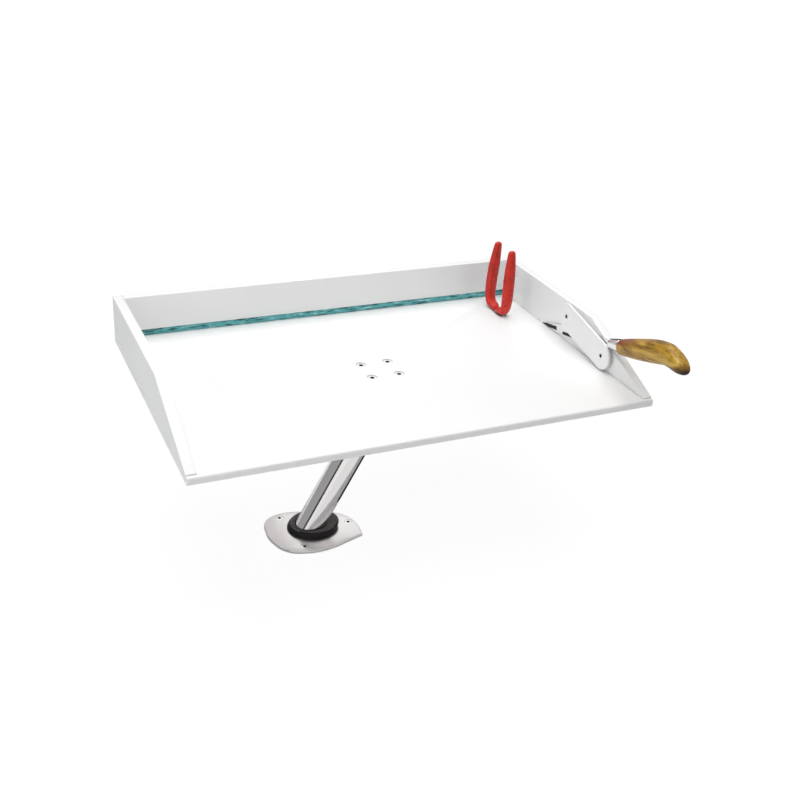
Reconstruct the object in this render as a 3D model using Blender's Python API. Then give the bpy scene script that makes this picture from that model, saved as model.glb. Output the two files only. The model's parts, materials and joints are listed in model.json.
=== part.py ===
"""Cutting table on a leaning post in a flush deck holder, with its knife and pliers.

Metres, +Z up. The origin is where the post's axis meets the deck, under the holder's flange.
+X runs along the board and +Y goes to its back wall. The post leans towards +X.
"""

import math

import bmesh
import bpy
from mathutils import Matrix, Vector

# Clearances
SEAT = 0.0003  # between pieces that rest on each other
LINER_PLAY = 0.0006  # between the post and its liner
PIN_PLAY = 0.0004  # between a cross pin and its slot
PAST = 0.0010  # a cutter's reach past the face where it comes out
BREAK = 0.0010  # bevel on a turned corner

# Board and walls
BOARD_LENGTH = 0.6096
BOARD_DEPTH = 0.3824
BOARD_THICK = 0.0095
EDGE_ROUND = 0.0010
WALL_THICK = 0.0127
WALL_HEIGHT = 0.0670  # wall tops above the board's underside
WALL_SLOPE_RUN = 0.1417  # length of a side wall's sloping top
WALL_TOE_HEIGHT = 0.0014
WALL_TOE_SETBACK = 0.0050
SEAL_HEIGHT = 0.0085
SEAL_INSET = 0.0006

# Screws that come up through the board into the walls
WALL_SCREW_R = 0.0020
WALL_SCREW_HEAD_R = 0.0042
WALL_SCREW_HEAD = 0.0026
WALL_SCREW_BITE = 0.0150
WALL_SCREW_SINK = 0.0034
BACK_SCREW_FROM_END = 0.0498
BACK_SCREW_COUNT = 4
SIDE_SCREW_SPACING = 0.1250
SIDE_SCREW_FROM_BACK = 0.0400
SIDE_SCREW_COUNT = 3

# Screws in the middle of the board
PATTERN_PITCH = 0.0381
PATTERN_FROM_FRONT = 0.1847
TRAY_SCREW_R = 0.0031
TRAY_SCREW_HEAD_R = 0.0068
TRAY_SCREW_HEAD = 0.0036
TRAY_SCREW_SINK = 0.0011  # head face below the board's top
SOCKET_R = 0.0022
SOCKET_DEPTH = 0.0020
HEAD_RIM = 0.15  # share of a countersunk head that is a straight rim

# Bracket under the board and its clamp
PIVOT_DROP = 0.0440  # pivot below the board's underside
BRACKET_LENGTH = 0.0860
BRACKET_WIDTH = 0.0660
BRACKET_CORNER = 0.0120
BRACKET_PLATE = 0.0065
EAR_THICK = 0.0065
EAR_R = 0.0165
EAR_ROOT = 0.0560
RIB_THICK = 0.0050
RIB_REACH = 0.0130
RIB_DROP = 0.0200
DISC_R = 0.0150
DISC_THICK = 0.0015
PIVOT_BOLT_R = 0.0050
BOLT_HEAD_R = 0.0092
BOLT_HEAD = 0.0064
CLAMP_WASHER_R = 0.0120
CLAMP_WASHER = 0.0016
KNOB_R = 0.0200
KNOB_LOBES = 5
KNOB_LOBE_DEPTH = 0.0022
KNOB_THICK = 0.0150
KNOB_HUB_R = 0.0105
KNOB_HUB = 0.0060
INSERT_R = 0.0078
BOLT_POINT = 0.0020  # bolt end short of the knob's face

# Post and its head
POST_LEAN = math.radians(28.0)
PIVOT_HEIGHT = 0.1820  # pivot above the deck
POST_R = 0.01905
POST_WALL = 0.0016
TONGUE_THICK = 0.0160
TONGUE_R = 0.0170
SHOULDER_DROP = 0.0250  # pivot to the head's shoulder, along the post
SHOULDER_THICK = 0.0050
PLUG_LENGTH = 0.0400
HEAD_PIN_R = 0.0030
HEAD_PIN_DROP = 0.0180  # below the shoulder
HEAD_PIN_DOME = 0.0014

# Deck holder
FLANGE_THICK = 0.0040
FLANGE_RIM = 0.0018
BARREL_WALL = 0.0018
LINER_WALL = 0.0020
BARREL_DEPTH = 0.2250
PIN_TO_END = 0.0250  # cross pin above the barrel's lower end
CROSS_PIN_R = 0.0040
SLOT_DEPTH = 0.0120
GIMBAL_SKIRT = 0.0180
GIMBAL_PLUG = 0.0250
CAP_WALL = 0.0025
CAP_LAP = 0.0140
CAP_FLOOR = 0.0030
DRAIN_R = 0.0050
DRAIN_SPOUT = 0.0120
RING_LENGTH = 0.0710
RING_WIDTH = 0.0640
RING_HEIGHT = 0.0064
RING_OFFSET = (0.0070, 0.0030)  # middle of the ring's foot from the post's axis
RING_FLARE = 0.0030
BOSS_HEIGHT = 0.0030
BOSS_WALL = 0.0030
DECK_SCREW_R = 0.0026
DECK_SCREW_HEAD_R = 0.0050
DECK_SCREW_HEAD = 0.0026
DECK_SCREW_LENGTH = 0.0320
FLANGE_REACH = 0.0694  # from the origin to the pointed corner, along X
DECK_SCREW_SHARES = ((-0.375, 0.533), (-0.223, -0.545), (0.886, -0.035))  # of the reach
TRIM = 0.0500  # length of a slanting part before its upper end is cut level
SPAN = 0.1000  # reach of a cutter past the piece that it cuts

# Knife guard on the right wall
GUARD_GAP = 0.0050  # wall to plate
GUARD_THICK = 0.0032
GUARD_R = 0.0188
GUARD_REAR = (0.1885, 0.0400)  # from the front edge, above the board's top
GUARD_FRONT = (0.0975, 0.0210)
SPACER_R = 0.0071
GUARD_SCREW_R = 0.0020
GUARD_SCREW_HEAD_R = 0.0040
GUARD_SCREW_HEAD = 0.0020
GUARD_SCREW_BITE = 0.0090

# Knife
KNIFE_SLOPE = math.radians(11.8)
BLADE_LENGTH = 0.1550
BLADE_HEIGHT = 0.0165
BLADE_THICK = 0.0016
BLADE_EDGE = 0.0003
BLADE_TIP_RISE = 0.0060
RICASSO = 0.0145
TANG_LENGTH = 0.0400
TANG_HEIGHT = 0.0060
FERRULE_LENGTH = 0.0150
FERRULE_FRONT = (0.0052, 0.0062)  # half width, half height
FERRULE_BACK = (0.0078, 0.0088)
FERRULE_RISE = 0.0036
FERRULE_CLEARANCE = 0.0005  # least distance from the wall's sloping top and from the guard
FERRULE_CLIMB = 0.0016
GRIP_LENGTH = 0.1420
GRIP_HALF_WIDTH = 0.0124
GRIP_HALF_HEIGHT = 0.0163

# Pliers
PLIER_FROM_RIGHT = 0.0572  # centre plane from the board's right edge
PLIER_FROM_BACK = 0.0715
PLIER_SLOT_LENGTH = 0.0340
PLIER_SLOT_WIDTH = 0.0140
JOINT_R = 0.0100
JOINT_THICK = 0.0096
LAP_GAP = 0.0003
RIVET_R = 0.0026
RIVET_DOME = 0.0010
JAW_LENGTH = 0.0500
JAW_TIP = 0.0040
JAW_OPEN = math.radians(3.0)
TANG_STAND = 0.0020  # past the joint before a tang leaves its lap
TANG_RAMP = 0.0040  # length over which a tang comes from its lap to the centre plane
HANDLE_LENGTH = 0.1120
HANDLE_BOW = 0.0252  # widest reach of a handle from the middle
SLEEVE_HALF_WIDTH = 0.0083
SLEEVE_HALF_DEPTH = 0.0060
SLEEVE_WALL = 0.0026
SLEEVE_TIP = 0.58  # share of its full size that a sleeve keeps at its tip
SLEEVE_TAPER = 0.0450  # length of the taper towards the tip
SLEEVE_START = 4  # section of the handle's path where the dipped sleeve begins

# Facets round a full circle
FINE = 28
MEDIUM = 20
SMALL = 12
TINY = 8

# Levels and places that follow from the sizes above
PIVOT_X = PIVOT_HEIGHT * math.tan(POST_LEAN)
PIVOT_ALONG = PIVOT_HEIGHT / math.cos(POST_LEAN)
UNDERSIDE = PIVOT_HEIGHT + PIVOT_DROP
BOARD_TOP = UNDERSIDE + BOARD_THICK
WALL_FOOT = BOARD_TOP + SEAT
WALL_TOP = UNDERSIDE + WALL_HEIGHT
LEFT = PIVOT_X - BOARD_LENGTH / 2
RIGHT = PIVOT_X + BOARD_LENGTH / 2
FRONT = -PATTERN_FROM_FRONT
BACK = FRONT + BOARD_DEPTH
RIGHT_FACE = RIGHT - WALL_THICK
BEND = FRONT + WALL_SLOPE_RUN
DISC_FACE = TONGUE_THICK / 2 + SEAT
EAR_FACE = DISC_FACE + DISC_THICK + SEAT
EAR_OUTER = EAR_FACE + EAR_THICK
KNOB_FACE = EAR_OUTER + SEAT + CLAMP_WASHER + SEAT
PIN_DEPTH = BARREL_DEPTH - PIN_TO_END
LINER_BORE = POST_R + LINER_PLAY
LINER_OUTER = LINER_BORE + LINER_WALL
BARREL_BORE = LINER_OUTER + SEAT
BARREL_OUTER = BARREL_BORE + BARREL_WALL
BLADE_X = RIGHT_FACE - GUARD_GAP / 2

MATERIALS = {}


def finish(name, colour, roughness, metallic=0.0):
    """A plain Principled material, made once for each name."""
    if name not in MATERIALS:
        material = bpy.data.materials.new(name)
        material.use_nodes = True
        shader = material.node_tree.nodes["Principled BSDF"]
        shader.inputs["Base Color"].default_value = (*colour, 1.0)
        shader.inputs["Roughness"].default_value = roughness
        shader.inputs["Metallic"].default_value = metallic
        material.diffuse_color = (*colour, 1.0)
        MATERIALS[name] = material
    return MATERIALS[name]


def white_board():
    return finish("white_board", (0.93, 0.93, 0.92), 0.45)


def sea_green_strip():
    return finish("sea_green_strip", (0.16, 0.55, 0.57), 0.30)


def stainless():
    return finish("stainless", (0.72, 0.71, 0.70), 0.18, 1.0)


def cast_alloy():
    return finish("cast_alloy", (0.70, 0.70, 0.71), 0.42, 1.0)


def black_rubber():
    return finish("black_rubber", (0.025, 0.022, 0.022), 0.45)


def black_plastic():
    return finish("black_plastic", (0.03, 0.03, 0.03), 0.35)


def natural_nylon():
    return finish("natural_nylon", (0.85, 0.84, 0.78), 0.40)


def brass():
    return finish("brass", (0.78, 0.60, 0.28), 0.30, 1.0)


def red_dip():
    return finish("red_dip", (0.75, 0.05, 0.03), 0.28)


def forged_steel():
    return finish("forged_steel", (0.35, 0.35, 0.36), 0.35, 1.0)


def horn_handle():
    return finish("horn_handle", (0.62, 0.42, 0.10), 0.22)


def clear_scene():
    for item in list(bpy.data.objects):
        bpy.data.objects.remove(item, do_unlink=True)


def frame(name, place, turn=(0.0, 0.0, 0.0)):
    """An empty that carries the pieces of one moving group."""
    empty = bpy.data.objects.new(name, None)
    bpy.context.collection.objects.link(empty)
    empty.location = place
    empty.rotation_euler = turn
    return empty


def piece(name, bm, material, parent=None, smooth=None):
    """Turns a bmesh into a named object; round pieces are smooth up to the given angle."""
    bmesh.ops.recalc_face_normals(bm, faces=bm.faces)
    mesh = bpy.data.meshes.new(name)
    bm.to_mesh(mesh)
    bm.free()
    if smooth is not None:
        mesh.shade_smooth()
        mesh.set_sharp_from_angle(angle=math.radians(smooth))
    if material is not None:
        mesh.materials.append(material)
    item = bpy.data.objects.new(name, mesh)
    bpy.context.collection.objects.link(item)
    item.parent = parent
    return item


def combine(item, name, bm, operation, parent=None):
    """A live exact Boolean on item, with a hidden wire object as its tool."""
    tool = piece(item.name + "_" + name, bm, None, parent)
    tool.hide_render = True
    tool.display_type = "WIRE"
    modifier = item.modifiers.new(name, "BOOLEAN")
    modifier.operation = operation
    modifier.solver = "EXACT"
    modifier.object = tool
    return tool


def cut(item, name, bm, parent=None):
    return combine(item, name, bm, "DIFFERENCE", parent)


def join(item, name, bm, parent=None):
    return combine(item, name, bm, "UNION", parent)


def skin(rings, loop=False):
    """Faces between rings of equal count. Open ends are capped; a loop closes on itself."""
    bm = bmesh.new()
    verts = [[bm.verts.new(point) for point in ring] for ring in rings]
    count = len(verts[0])
    pairs = list(zip(verts, verts[1:]))
    if loop:
        pairs.append((verts[-1], verts[0]))
    for near, far in pairs:
        for i in range(count):
            k = (i + 1) % count
            bm.faces.new((near[i], near[k], far[k], far[i]))
    if not loop:
        bm.faces.new(verts[0])
        bm.faces.new(verts[-1])
    return bm


def axis_point(axis, along, u, v):
    """A point whose first number lies along the axis and the other two across it."""
    if axis == "X":
        return Vector((along, u, v))
    if axis == "Y":
        return Vector((u, along, v))
    return Vector((u, v, along))


def prism(outline, low, high, axis="Z"):
    """An outline carried straight along an axis."""
    ends = [[axis_point(axis, along, u, v) for u, v in outline] for along in (low, high)]
    return skin(ends)


def turned(profile, axis="Z", steps=FINE, centre=(0.0, 0.0), hollow=False):
    """A turned solid from (radius, along) points; a hollow one closes its profile."""
    rings = []
    for radius, along in profile:
        ring = []
        for i in range(steps):
            angle = 2 * math.pi * i / steps
            u = centre[0] + radius * math.cos(angle)
            v = centre[1] + radius * math.sin(angle)
            ring.append(axis_point(axis, along, u, v))
        rings.append(ring)
    return skin(rings, loop=hollow)


def cylinder(radius, low, high, axis="Z", steps=MEDIUM, centre=(0.0, 0.0)):
    return turned([(radius, low), (radius, high)], axis, steps, centre)


def arc(centre, radius, start, end, steps):
    """Points on an arc, angles in degrees."""
    points = []
    for i in range(steps + 1):
        angle = math.radians(start + (end - start) * i / steps)
        points.append((centre[0] + radius * math.cos(angle), centre[1] + radius * math.sin(angle)))
    return points


def rounded_box(length, width, corner, steps=4):
    """Outline of a rectangle with round corners, centred on zero."""
    points = []
    for sx, sy, start in ((1, 1, 0), (-1, 1, 90), (-1, -1, 180), (1, -1, 270)):
        centre = (sx * (length / 2 - corner), sy * (width / 2 - corner))
        points += arc(centre, corner, start, start + 90, steps)
    return points


def smooth_path(points, per_span, closed=False):
    """A Catmull-Rom curve through points of any dimension."""
    points = [Vector(p) for p in points]
    count = len(points)
    spans = count if closed else count - 1
    path = []
    for i in range(spans):
        if closed:
            p0, p1, p2, p3 = (points[(i + k) % count] for k in (-1, 0, 1, 2))
        else:
            p0 = points[max(i - 1, 0)]
            p1, p2 = points[i], points[i + 1]
            p3 = points[min(i + 2, count - 1)]
        for k in range(per_span):
            t = k / per_span
            a = 2 * p1
            b = (p2 - p0) * t
            c = (2 * p0 - 5 * p1 + 4 * p2 - p3) * t * t
            d = (3 * p1 - p0 - 3 * p2 + p3) * t * t * t
            path.append((a + b + c + d) / 2)
    if not closed:
        path.append(points[-1].copy())
    return path


def soften(bm, width, steps=1):
    """Small round on every edge of a clean solid."""
    edges = list(bm.edges)
    bmesh.ops.bevel(bm, geom=edges, offset=width, segments=steps, affect="EDGES", profile=0.5)
    return bm


def countersunk_profile(radius, head_radius, head, length):
    """A countersunk screw with a socket, head face at zero and its shank going down."""
    socket_r = min(SOCKET_R, head_radius * 0.5)
    socket = min(SOCKET_DEPTH, head * 0.6)
    top = [(socket_r, -socket), (socket_r, 0.0), (head_radius, 0.0), (head_radius, -head * HEAD_RIM)]
    return top + shank_profile(radius, head, length)


def pan_profile(radius, head_radius, head, length):
    """A pan-head screw, head face at zero and its shank going down."""
    top = [(head_radius * 0.8, 0.0), (head_radius, -head * 0.4), (head_radius, -head)]
    return top + shank_profile(radius, head, length)


def shank_profile(radius, head, length):
    """The shank under a head, with a blunt point."""
    point = min(length * 0.15, radius)
    return [(radius, -head), (radius, -length + point), (radius * 0.45, -length)]


def carried(profile, level, sign=1.0):
    """Moves a screw's profile to a level; sign -1 turns it over."""
    return [(radius, level + sign * along) for radius, along in profile]


def side_wall_outline():
    """Side wall seen along X: square at the back, sloping down to a low toe at the front."""
    return [
        (BACK, WALL_FOOT),
        (BACK, WALL_TOP),
        (BEND, WALL_TOP),
        (FRONT + WALL_TOE_SETBACK, WALL_FOOT + WALL_TOE_HEIGHT),
        (FRONT + WALL_TOE_SETBACK, WALL_FOOT),
    ]


def side_screw_places():
    """Distances in Y of the screws under one side wall."""
    first = BACK - SIDE_SCREW_FROM_BACK
    return [first - i * SIDE_SCREW_SPACING for i in range(SIDE_SCREW_COUNT)]


def back_screw_places():
    """Distances in X of the screws under the back wall."""
    spacing = (BOARD_LENGTH - 2 * BACK_SCREW_FROM_END) / (BACK_SCREW_COUNT - 1)
    return [LEFT + BACK_SCREW_FROM_END + i * spacing for i in range(BACK_SCREW_COUNT)]


def wall_screw_table():
    """Name, place and level of the wall's foot for every screw that holds a wall."""
    table = []
    back_y = BACK - WALL_THICK / 2
    back_foot = WALL_FOOT + SEAL_HEIGHT + SEAT
    for i, x in enumerate(back_screw_places(), 1):
        table.append((f"back_wall_screw_{i}", x, back_y, back_foot))
    for i, y in enumerate(side_screw_places(), 1):
        table.append((f"left_wall_screw_{i}", LEFT + WALL_THICK / 2, y, WALL_FOOT))
        table.append((f"right_wall_screw_{i}", RIGHT - WALL_THICK / 2, y, WALL_FOOT))
    return table


def screw_hole(screw, low, high):
    """A plain round hole around one wall screw."""
    return cylinder(WALL_SCREW_R + SEAT, low, high, steps=TINY, centre=(screw[1], screw[2]))


def build_board(group):
    """The board with its screw holes, the plier slot and the walls' screw holes."""
    outline = [(LEFT, FRONT), (RIGHT, FRONT), (RIGHT, BACK), (LEFT, BACK)]
    bm = soften(prism(outline, UNDERSIDE, BOARD_TOP), EDGE_ROUND)
    board = piece("cutting_board", bm, white_board(), group)
    head_face = BOARD_TOP - TRAY_SCREW_SINK
    for i, (x, y) in enumerate(tray_screw_places(), 1):
        hole = [
            (TRAY_SCREW_R + SEAT, UNDERSIDE - PAST),
            (TRAY_SCREW_R + SEAT, head_face - TRAY_SCREW_HEAD),
            (TRAY_SCREW_HEAD_R + SEAT, head_face - TRAY_SCREW_HEAD * HEAD_RIM),
            (TRAY_SCREW_HEAD_R + SEAT, BOARD_TOP + PAST),
        ]
        cut(board, f"hole_{i}", turned(hole, steps=SMALL, centre=(x, y)), group)
    for screw in wall_screw_table():
        hole = [
            (WALL_SCREW_HEAD_R + SEAT, UNDERSIDE - PAST),
            (WALL_SCREW_HEAD_R + SEAT, UNDERSIDE + WALL_SCREW_SINK),
            (WALL_SCREW_R + SEAT, UNDERSIDE + WALL_SCREW_SINK),
            (WALL_SCREW_R + SEAT, BOARD_TOP + PAST),
        ]
        cut(board, screw[0], turned(hole, steps=TINY, centre=screw[1:3]), group)
    x, y = plier_place()
    slot = rounded_box(PLIER_SLOT_WIDTH, PLIER_SLOT_LENGTH, PLIER_SLOT_WIDTH * 0.49)
    slot = [(x + u, y + v) for u, v in slot]
    cut(board, "plier_slot", prism(slot, UNDERSIDE - PAST, BOARD_TOP + PAST), group)


def build_walls(group):
    """Back wall, side walls and the strip that the back wall stands on."""
    inner_left = LEFT + WALL_THICK + SEAT
    inner_right = RIGHT_FACE - SEAT
    back_face = BACK - WALL_THICK
    strip_top = WALL_FOOT + SEAL_HEIGHT
    strip_outline = [(back_face + SEAL_INSET, WALL_FOOT), (BACK - SEAL_INSET, WALL_FOOT)]
    strip_outline += [(BACK - SEAL_INSET, strip_top), (back_face + SEAL_INSET, strip_top)]
    strip_bm = prism(strip_outline, inner_left, inner_right, "X")
    strip = piece("wall_seal_strip", strip_bm, sea_green_strip(), group)
    foot = strip_top + SEAT
    outline = [(back_face, foot), (BACK, foot), (BACK, WALL_TOP), (back_face, WALL_TOP)]
    bm = soften(prism(outline, inner_left, inner_right, "X"), EDGE_ROUND)
    back = piece("back_wall", bm, white_board(), group)
    bm = soften(prism(side_wall_outline(), LEFT, LEFT + WALL_THICK, "X"), EDGE_ROUND * 0.5)
    left = piece("left_wall", bm, white_board(), group)
    bm = soften(prism(side_wall_outline(), RIGHT_FACE, RIGHT, "X"), EDGE_ROUND * 0.5)
    right = piece("right_wall", bm, white_board(), group)
    for screw in wall_screw_table():
        depth = screw[3] + WALL_SCREW_BITE + SEAT
        if screw[0].startswith("back"):
            cut(strip, screw[0], screw_hole(screw, BOARD_TOP, foot + PAST), group)
            cut(back, screw[0], screw_hole(screw, BOARD_TOP, depth), group)
        elif screw[0].startswith("left"):
            cut(left, screw[0], screw_hole(screw, BOARD_TOP, depth), group)
        else:
            cut(right, screw[0], screw_hole(screw, BOARD_TOP, depth), group)
    for name, (y, z) in guard_screw_places():
        hole_r = GUARD_SCREW_R + SEAT
        low = RIGHT_FACE - PAST
        high = RIGHT_FACE + GUARD_SCREW_BITE + SEAT
        cut(right, name, cylinder(hole_r, low, high, "X", SMALL, (y, z)), group)


def build_wall_screws(group):
    """Pan-head screws under the board, each up into its wall."""
    for name, x, y, foot in wall_screw_table():
        head_face = UNDERSIDE + WALL_SCREW_SINK - SEAT - WALL_SCREW_HEAD
        length = foot + WALL_SCREW_BITE - head_face
        profile = pan_profile(WALL_SCREW_R, WALL_SCREW_HEAD_R, WALL_SCREW_HEAD, length)
        bm = turned(carried(profile, head_face, -1.0), steps=TINY, centre=(x, y))
        piece(name, bm, stainless(), group, smooth=35)


def tray_screw_places():
    """Centres of the four screws in the middle of the board."""
    half = PATTERN_PITCH / 2
    return [(PIVOT_X + sx * half, sy * half) for sx in (-1, 1) for sy in (1, -1)]


def build_tray_screws(group):
    """Countersunk screws through the board into the bracket."""
    head_face = BOARD_TOP - TRAY_SCREW_SINK + SEAT
    length = head_face - UNDERSIDE + SEAT + BRACKET_PLATE
    for i, (x, y) in enumerate(tray_screw_places(), 1):
        profile = countersunk_profile(TRAY_SCREW_R, TRAY_SCREW_HEAD_R, TRAY_SCREW_HEAD, length)
        bm = turned(carried(profile, head_face), steps=SMALL, centre=(x, y))
        piece(f"tray_screw_{i}", bm, stainless(), group, smooth=35)


def ear_outline():
    """One ear seen along Y: wide at the plate, tangent to a round end at the pivot."""
    top = PIVOT_DROP - SEAT - BRACKET_PLATE * 0.5
    half = EAR_ROOT / 2
    reach = math.hypot(half, top)
    lean = math.atan2(top, half) - math.asin(EAR_R / reach)
    start = math.degrees(lean) - 90.0
    round_end = arc((0.0, 0.0), EAR_R, start, -180.0 - start, 14)
    return [(-half, top), (half, top)] + round_end


def build_bracket(group):
    """Cast bracket: a plate under the board and two ribbed ears down to the pivot."""
    top = PIVOT_DROP - SEAT
    bottom = top - BRACKET_PLATE
    plate = prism(rounded_box(BRACKET_LENGTH, BRACKET_WIDTH, BRACKET_CORNER), bottom, top)
    bracket = piece("tray_bracket", plate, cast_alloy(), group, smooth=30)
    for side, name in ((1, "rear"), (-1, "front")):
        low, high = sorted((side * EAR_FACE, side * EAR_OUTER))
        join(bracket, name + "_ear", prism(ear_outline(), low, high, "Y"), group)
        root = side * (EAR_OUTER - EAR_THICK * 0.5)
        tip = side * (EAR_OUTER + RIB_REACH)
        rib = [(root, bottom + BRACKET_PLATE * 0.5), (tip, bottom + BRACKET_PLATE * 0.5)]
        rib += [(tip, bottom - PAST), (root, bottom - RIB_DROP)]
        join(bracket, name + "_rib", prism(rib, -RIB_THICK / 2, RIB_THICK / 2, "X"), group)
    reach = EAR_OUTER + PAST
    cut(bracket, "bore", cylinder(PIVOT_BOLT_R + SEAT, -reach, reach, "Y"), group)
    for i, (x, y) in enumerate(tray_screw_places(), 1):
        spot = (x - PIVOT_X, y)
        hole = cylinder(TRAY_SCREW_R + SEAT, bottom - PAST, top + PAST, steps=SMALL, centre=spot)
        cut(bracket, f"hole_{i}", hole, group)


def build_clamp(group):
    """Friction discs beside the tongue, the pivot bolt and the washer under the knob."""
    inner = PIVOT_BOLT_R + SEAT
    for side, name in ((1, "friction_disc_rear"), (-1, "friction_disc_front")):
        low = side * DISC_FACE
        high = side * (DISC_FACE + DISC_THICK)
        ring = [(inner, low), (DISC_R, low), (DISC_R, high), (inner, high)]
        piece(name, turned(ring, "Y", MEDIUM, hollow=True), black_plastic(), group, smooth=35)
    head_face = EAR_OUTER + SEAT
    tip = -(KNOB_FACE + KNOB_HUB + KNOB_THICK - BOLT_POINT)
    bolt = cylinder(PIVOT_BOLT_R, tip, head_face, "Y", MEDIUM)
    item = piece("pivot_bolt", bolt, stainless(), group, smooth=35)
    hexagon = arc((0.0, 0.0), BOLT_HEAD_R, 30, 330, 5)
    join(item, "head", prism(hexagon, head_face, head_face + BOLT_HEAD, "Y"), group)
    low = -(EAR_OUTER + SEAT)
    high = low - CLAMP_WASHER
    ring = [(inner, low), (CLAMP_WASHER_R, low), (CLAMP_WASHER_R, high), (inner, high)]
    piece("clamp_washer", turned(ring, "Y", MEDIUM, hollow=True), stainless(), group, smooth=35)


def build_knob(group):
    """Lobed clamp knob with a turned hub and a threaded insert."""
    insert_bore = PIVOT_BOLT_R + PIN_PLAY
    start = -KNOB_FACE
    hub_end = start - KNOB_HUB
    end = hub_end - KNOB_THICK
    steps = KNOB_LOBES * 8
    rings = []
    for radius, along in (
        (KNOB_HUB_R, start),
        (KNOB_HUB_R, hub_end),
        (KNOB_R * 0.90, hub_end),
        (KNOB_R, hub_end - KNOB_THICK * 0.18),
        (KNOB_R, hub_end - KNOB_THICK * 0.70),
        (KNOB_R * 0.88, hub_end - KNOB_THICK * 0.93),
        (KNOB_R * 0.72, end),
    ):
        ring = []
        for i in range(steps):
            angle = 2 * math.pi * i / steps
            wave = KNOB_LOBE_DEPTH * (math.cos(KNOB_LOBES * angle) - 1) / 2
            r = radius + (2 * wave if radius > KNOB_HUB_R else 0.0)
            ring.append(Vector((r * math.cos(angle), along, r * math.sin(angle))))
        rings.append(ring)
    knob = piece("clamp_knob", skin(rings), black_plastic(), group, smooth=40)
    cut(knob, "bore", cylinder(INSERT_R + SEAT, end - PAST, start + PAST, "Y", MEDIUM), group)
    low, high = end + BOLT_POINT / 2, start
    ring = [(insert_bore, low), (INSERT_R, low), (INSERT_R, high), (insert_bore, high)]
    piece("knob_insert", turned(ring, "Y", SMALL, hollow=True), brass(), group, smooth=35)


def build_post(group):
    """Post tube with its cast head above and the slotted gimbal end below."""
    bore = POST_R - POST_WALL
    shoulder = PIVOT_ALONG - SHOULDER_DROP
    tube_top = shoulder - SHOULDER_THICK - SEAT
    slot_top = -PIN_DEPTH + CROSS_PIN_R + PIN_PLAY
    end_bottom = slot_top - SLOT_DEPTH
    skirt_top = end_bottom + GIMBAL_SKIRT
    tube_bottom = skirt_top + SEAT
    ring = [(bore, tube_bottom), (POST_R, tube_bottom), (POST_R, tube_top), (bore, tube_top)]
    tube = piece("post_tube", turned(ring, hollow=True), stainless(), group, smooth=35)

    plug_r = bore - SEAT
    plug_bottom = tube_top - PLUG_LENGTH
    profile = [
        (plug_r - BREAK, plug_bottom),
        (plug_r, plug_bottom + 0.002),
        (plug_r, tube_top + SEAT),
        (POST_R, tube_top + SEAT),
        (POST_R, shoulder - BREAK),
        (POST_R - BREAK, shoulder),
        (TONGUE_R * 0.9, shoulder + 0.002),
    ]
    head = piece("post_head", turned(profile), cast_alloy(), group, smooth=35)
    half = TONGUE_R
    tongue = [(-half, shoulder - 0.003), (half, shoulder - 0.003)]
    tongue += arc((0.0, PIVOT_ALONG), TONGUE_R, 0, 180, 18)
    width = TONGUE_THICK / 2
    join(head, "tongue", prism(tongue, -width, width, "Y"), group)
    bolt_r = PIVOT_BOLT_R + PIN_PLAY
    bolt = cylinder(bolt_r, -POST_R, POST_R, "Y", MEDIUM, (0.0, PIVOT_ALONG))
    cut(head, "bore", bolt, group)

    pin_level = tube_top - HEAD_PIN_DROP
    for item in (head, tube):
        hole = cylinder(HEAD_PIN_R + SEAT, -2 * POST_R, 2 * POST_R, "Y", SMALL, (0.0, pin_level))
        cut(item, "pin_hole", hole, group)
    face = POST_R + SEAT
    dome = face + HEAD_PIN_DOME
    rivet = [
        (HEAD_PIN_R * 0.9, -dome),
        (HEAD_PIN_R * 1.7, -face),
        (HEAD_PIN_R, -face),
        (HEAD_PIN_R, face),
        (HEAD_PIN_R * 1.7, face),
        (HEAD_PIN_R * 0.9, dome),
    ]
    bm = turned(rivet, "Y", SMALL, (0.0, pin_level))
    piece("head_rivet", bm, stainless(), group, smooth=35)

    profile = [
        (POST_R - 0.0015, end_bottom),
        (POST_R, end_bottom + 0.0015),
        (POST_R, skirt_top),
        (plug_r, skirt_top),
        (plug_r, skirt_top + GIMBAL_PLUG - 0.002),
        (plug_r - 0.002, skirt_top + GIMBAL_PLUG),
    ]
    end = piece("gimbal_end", turned(profile), natural_nylon(), group, smooth=35)
    half = CROSS_PIN_R + PIN_PLAY
    for name, axis in (("slot_across", "X"), ("slot_along", "Y")):
        groove = [(-half, end_bottom - PAST), (half, end_bottom - PAST)]
        groove += arc((0.0, slot_top - half), half, 0, 180, 8)
        cut(end, name, prism(groove, -2 * POST_R, 2 * POST_R, axis), group)


def flange_outline():
    """Flange seen from above: a broad round end, a blunt end and one pointed corner."""
    # shares of the reach: pointed corner, front, broad end, back
    corner = (1.000, -0.512)
    front = [corner, (0.699, -0.605), (0.245, -0.735), (-0.245, -0.720)]
    broad = [(-0.576, -0.562), (-0.764, -0.187), (-0.778, 0.173), (-0.663, 0.533)]
    back = [(-0.360, 0.677), (0.115, 0.620), (0.548, 0.468), (0.918, 0.205), (1.029, -0.179)]
    path = smooth_path(front + broad + back + [corner], 2)
    return [(point.x * FLANGE_REACH, point.y * FLANGE_REACH) for point in path[:-1]]


def inset(outline, distance):
    """A clockwise outline moved inwards by a distance, point by point."""
    count = len(outline)
    moved = []
    for i, (x, y) in enumerate(outline):
        ahead = Vector(outline[(i + 1) % count])
        behind = Vector(outline[i - 1])
        along = (ahead - behind).normalized()
        moved.append((x + distance * along.y, y - distance * along.x))
    return moved


def oval(length, width, level, offset=(0.0, 0.0), steps=FINE):
    """A level ellipse on the post's axis or beside it: its centre follows the axis as it rises."""
    centre = level * math.tan(POST_LEAN) + offset[0]
    ring = []
    for i in range(steps):
        angle = 2 * math.pi * i / steps
        x = centre + length / 2 * math.cos(angle)
        y = offset[1] + width / 2 * math.sin(angle)
        ring.append(Vector((x, y, level)))
    return ring


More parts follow.
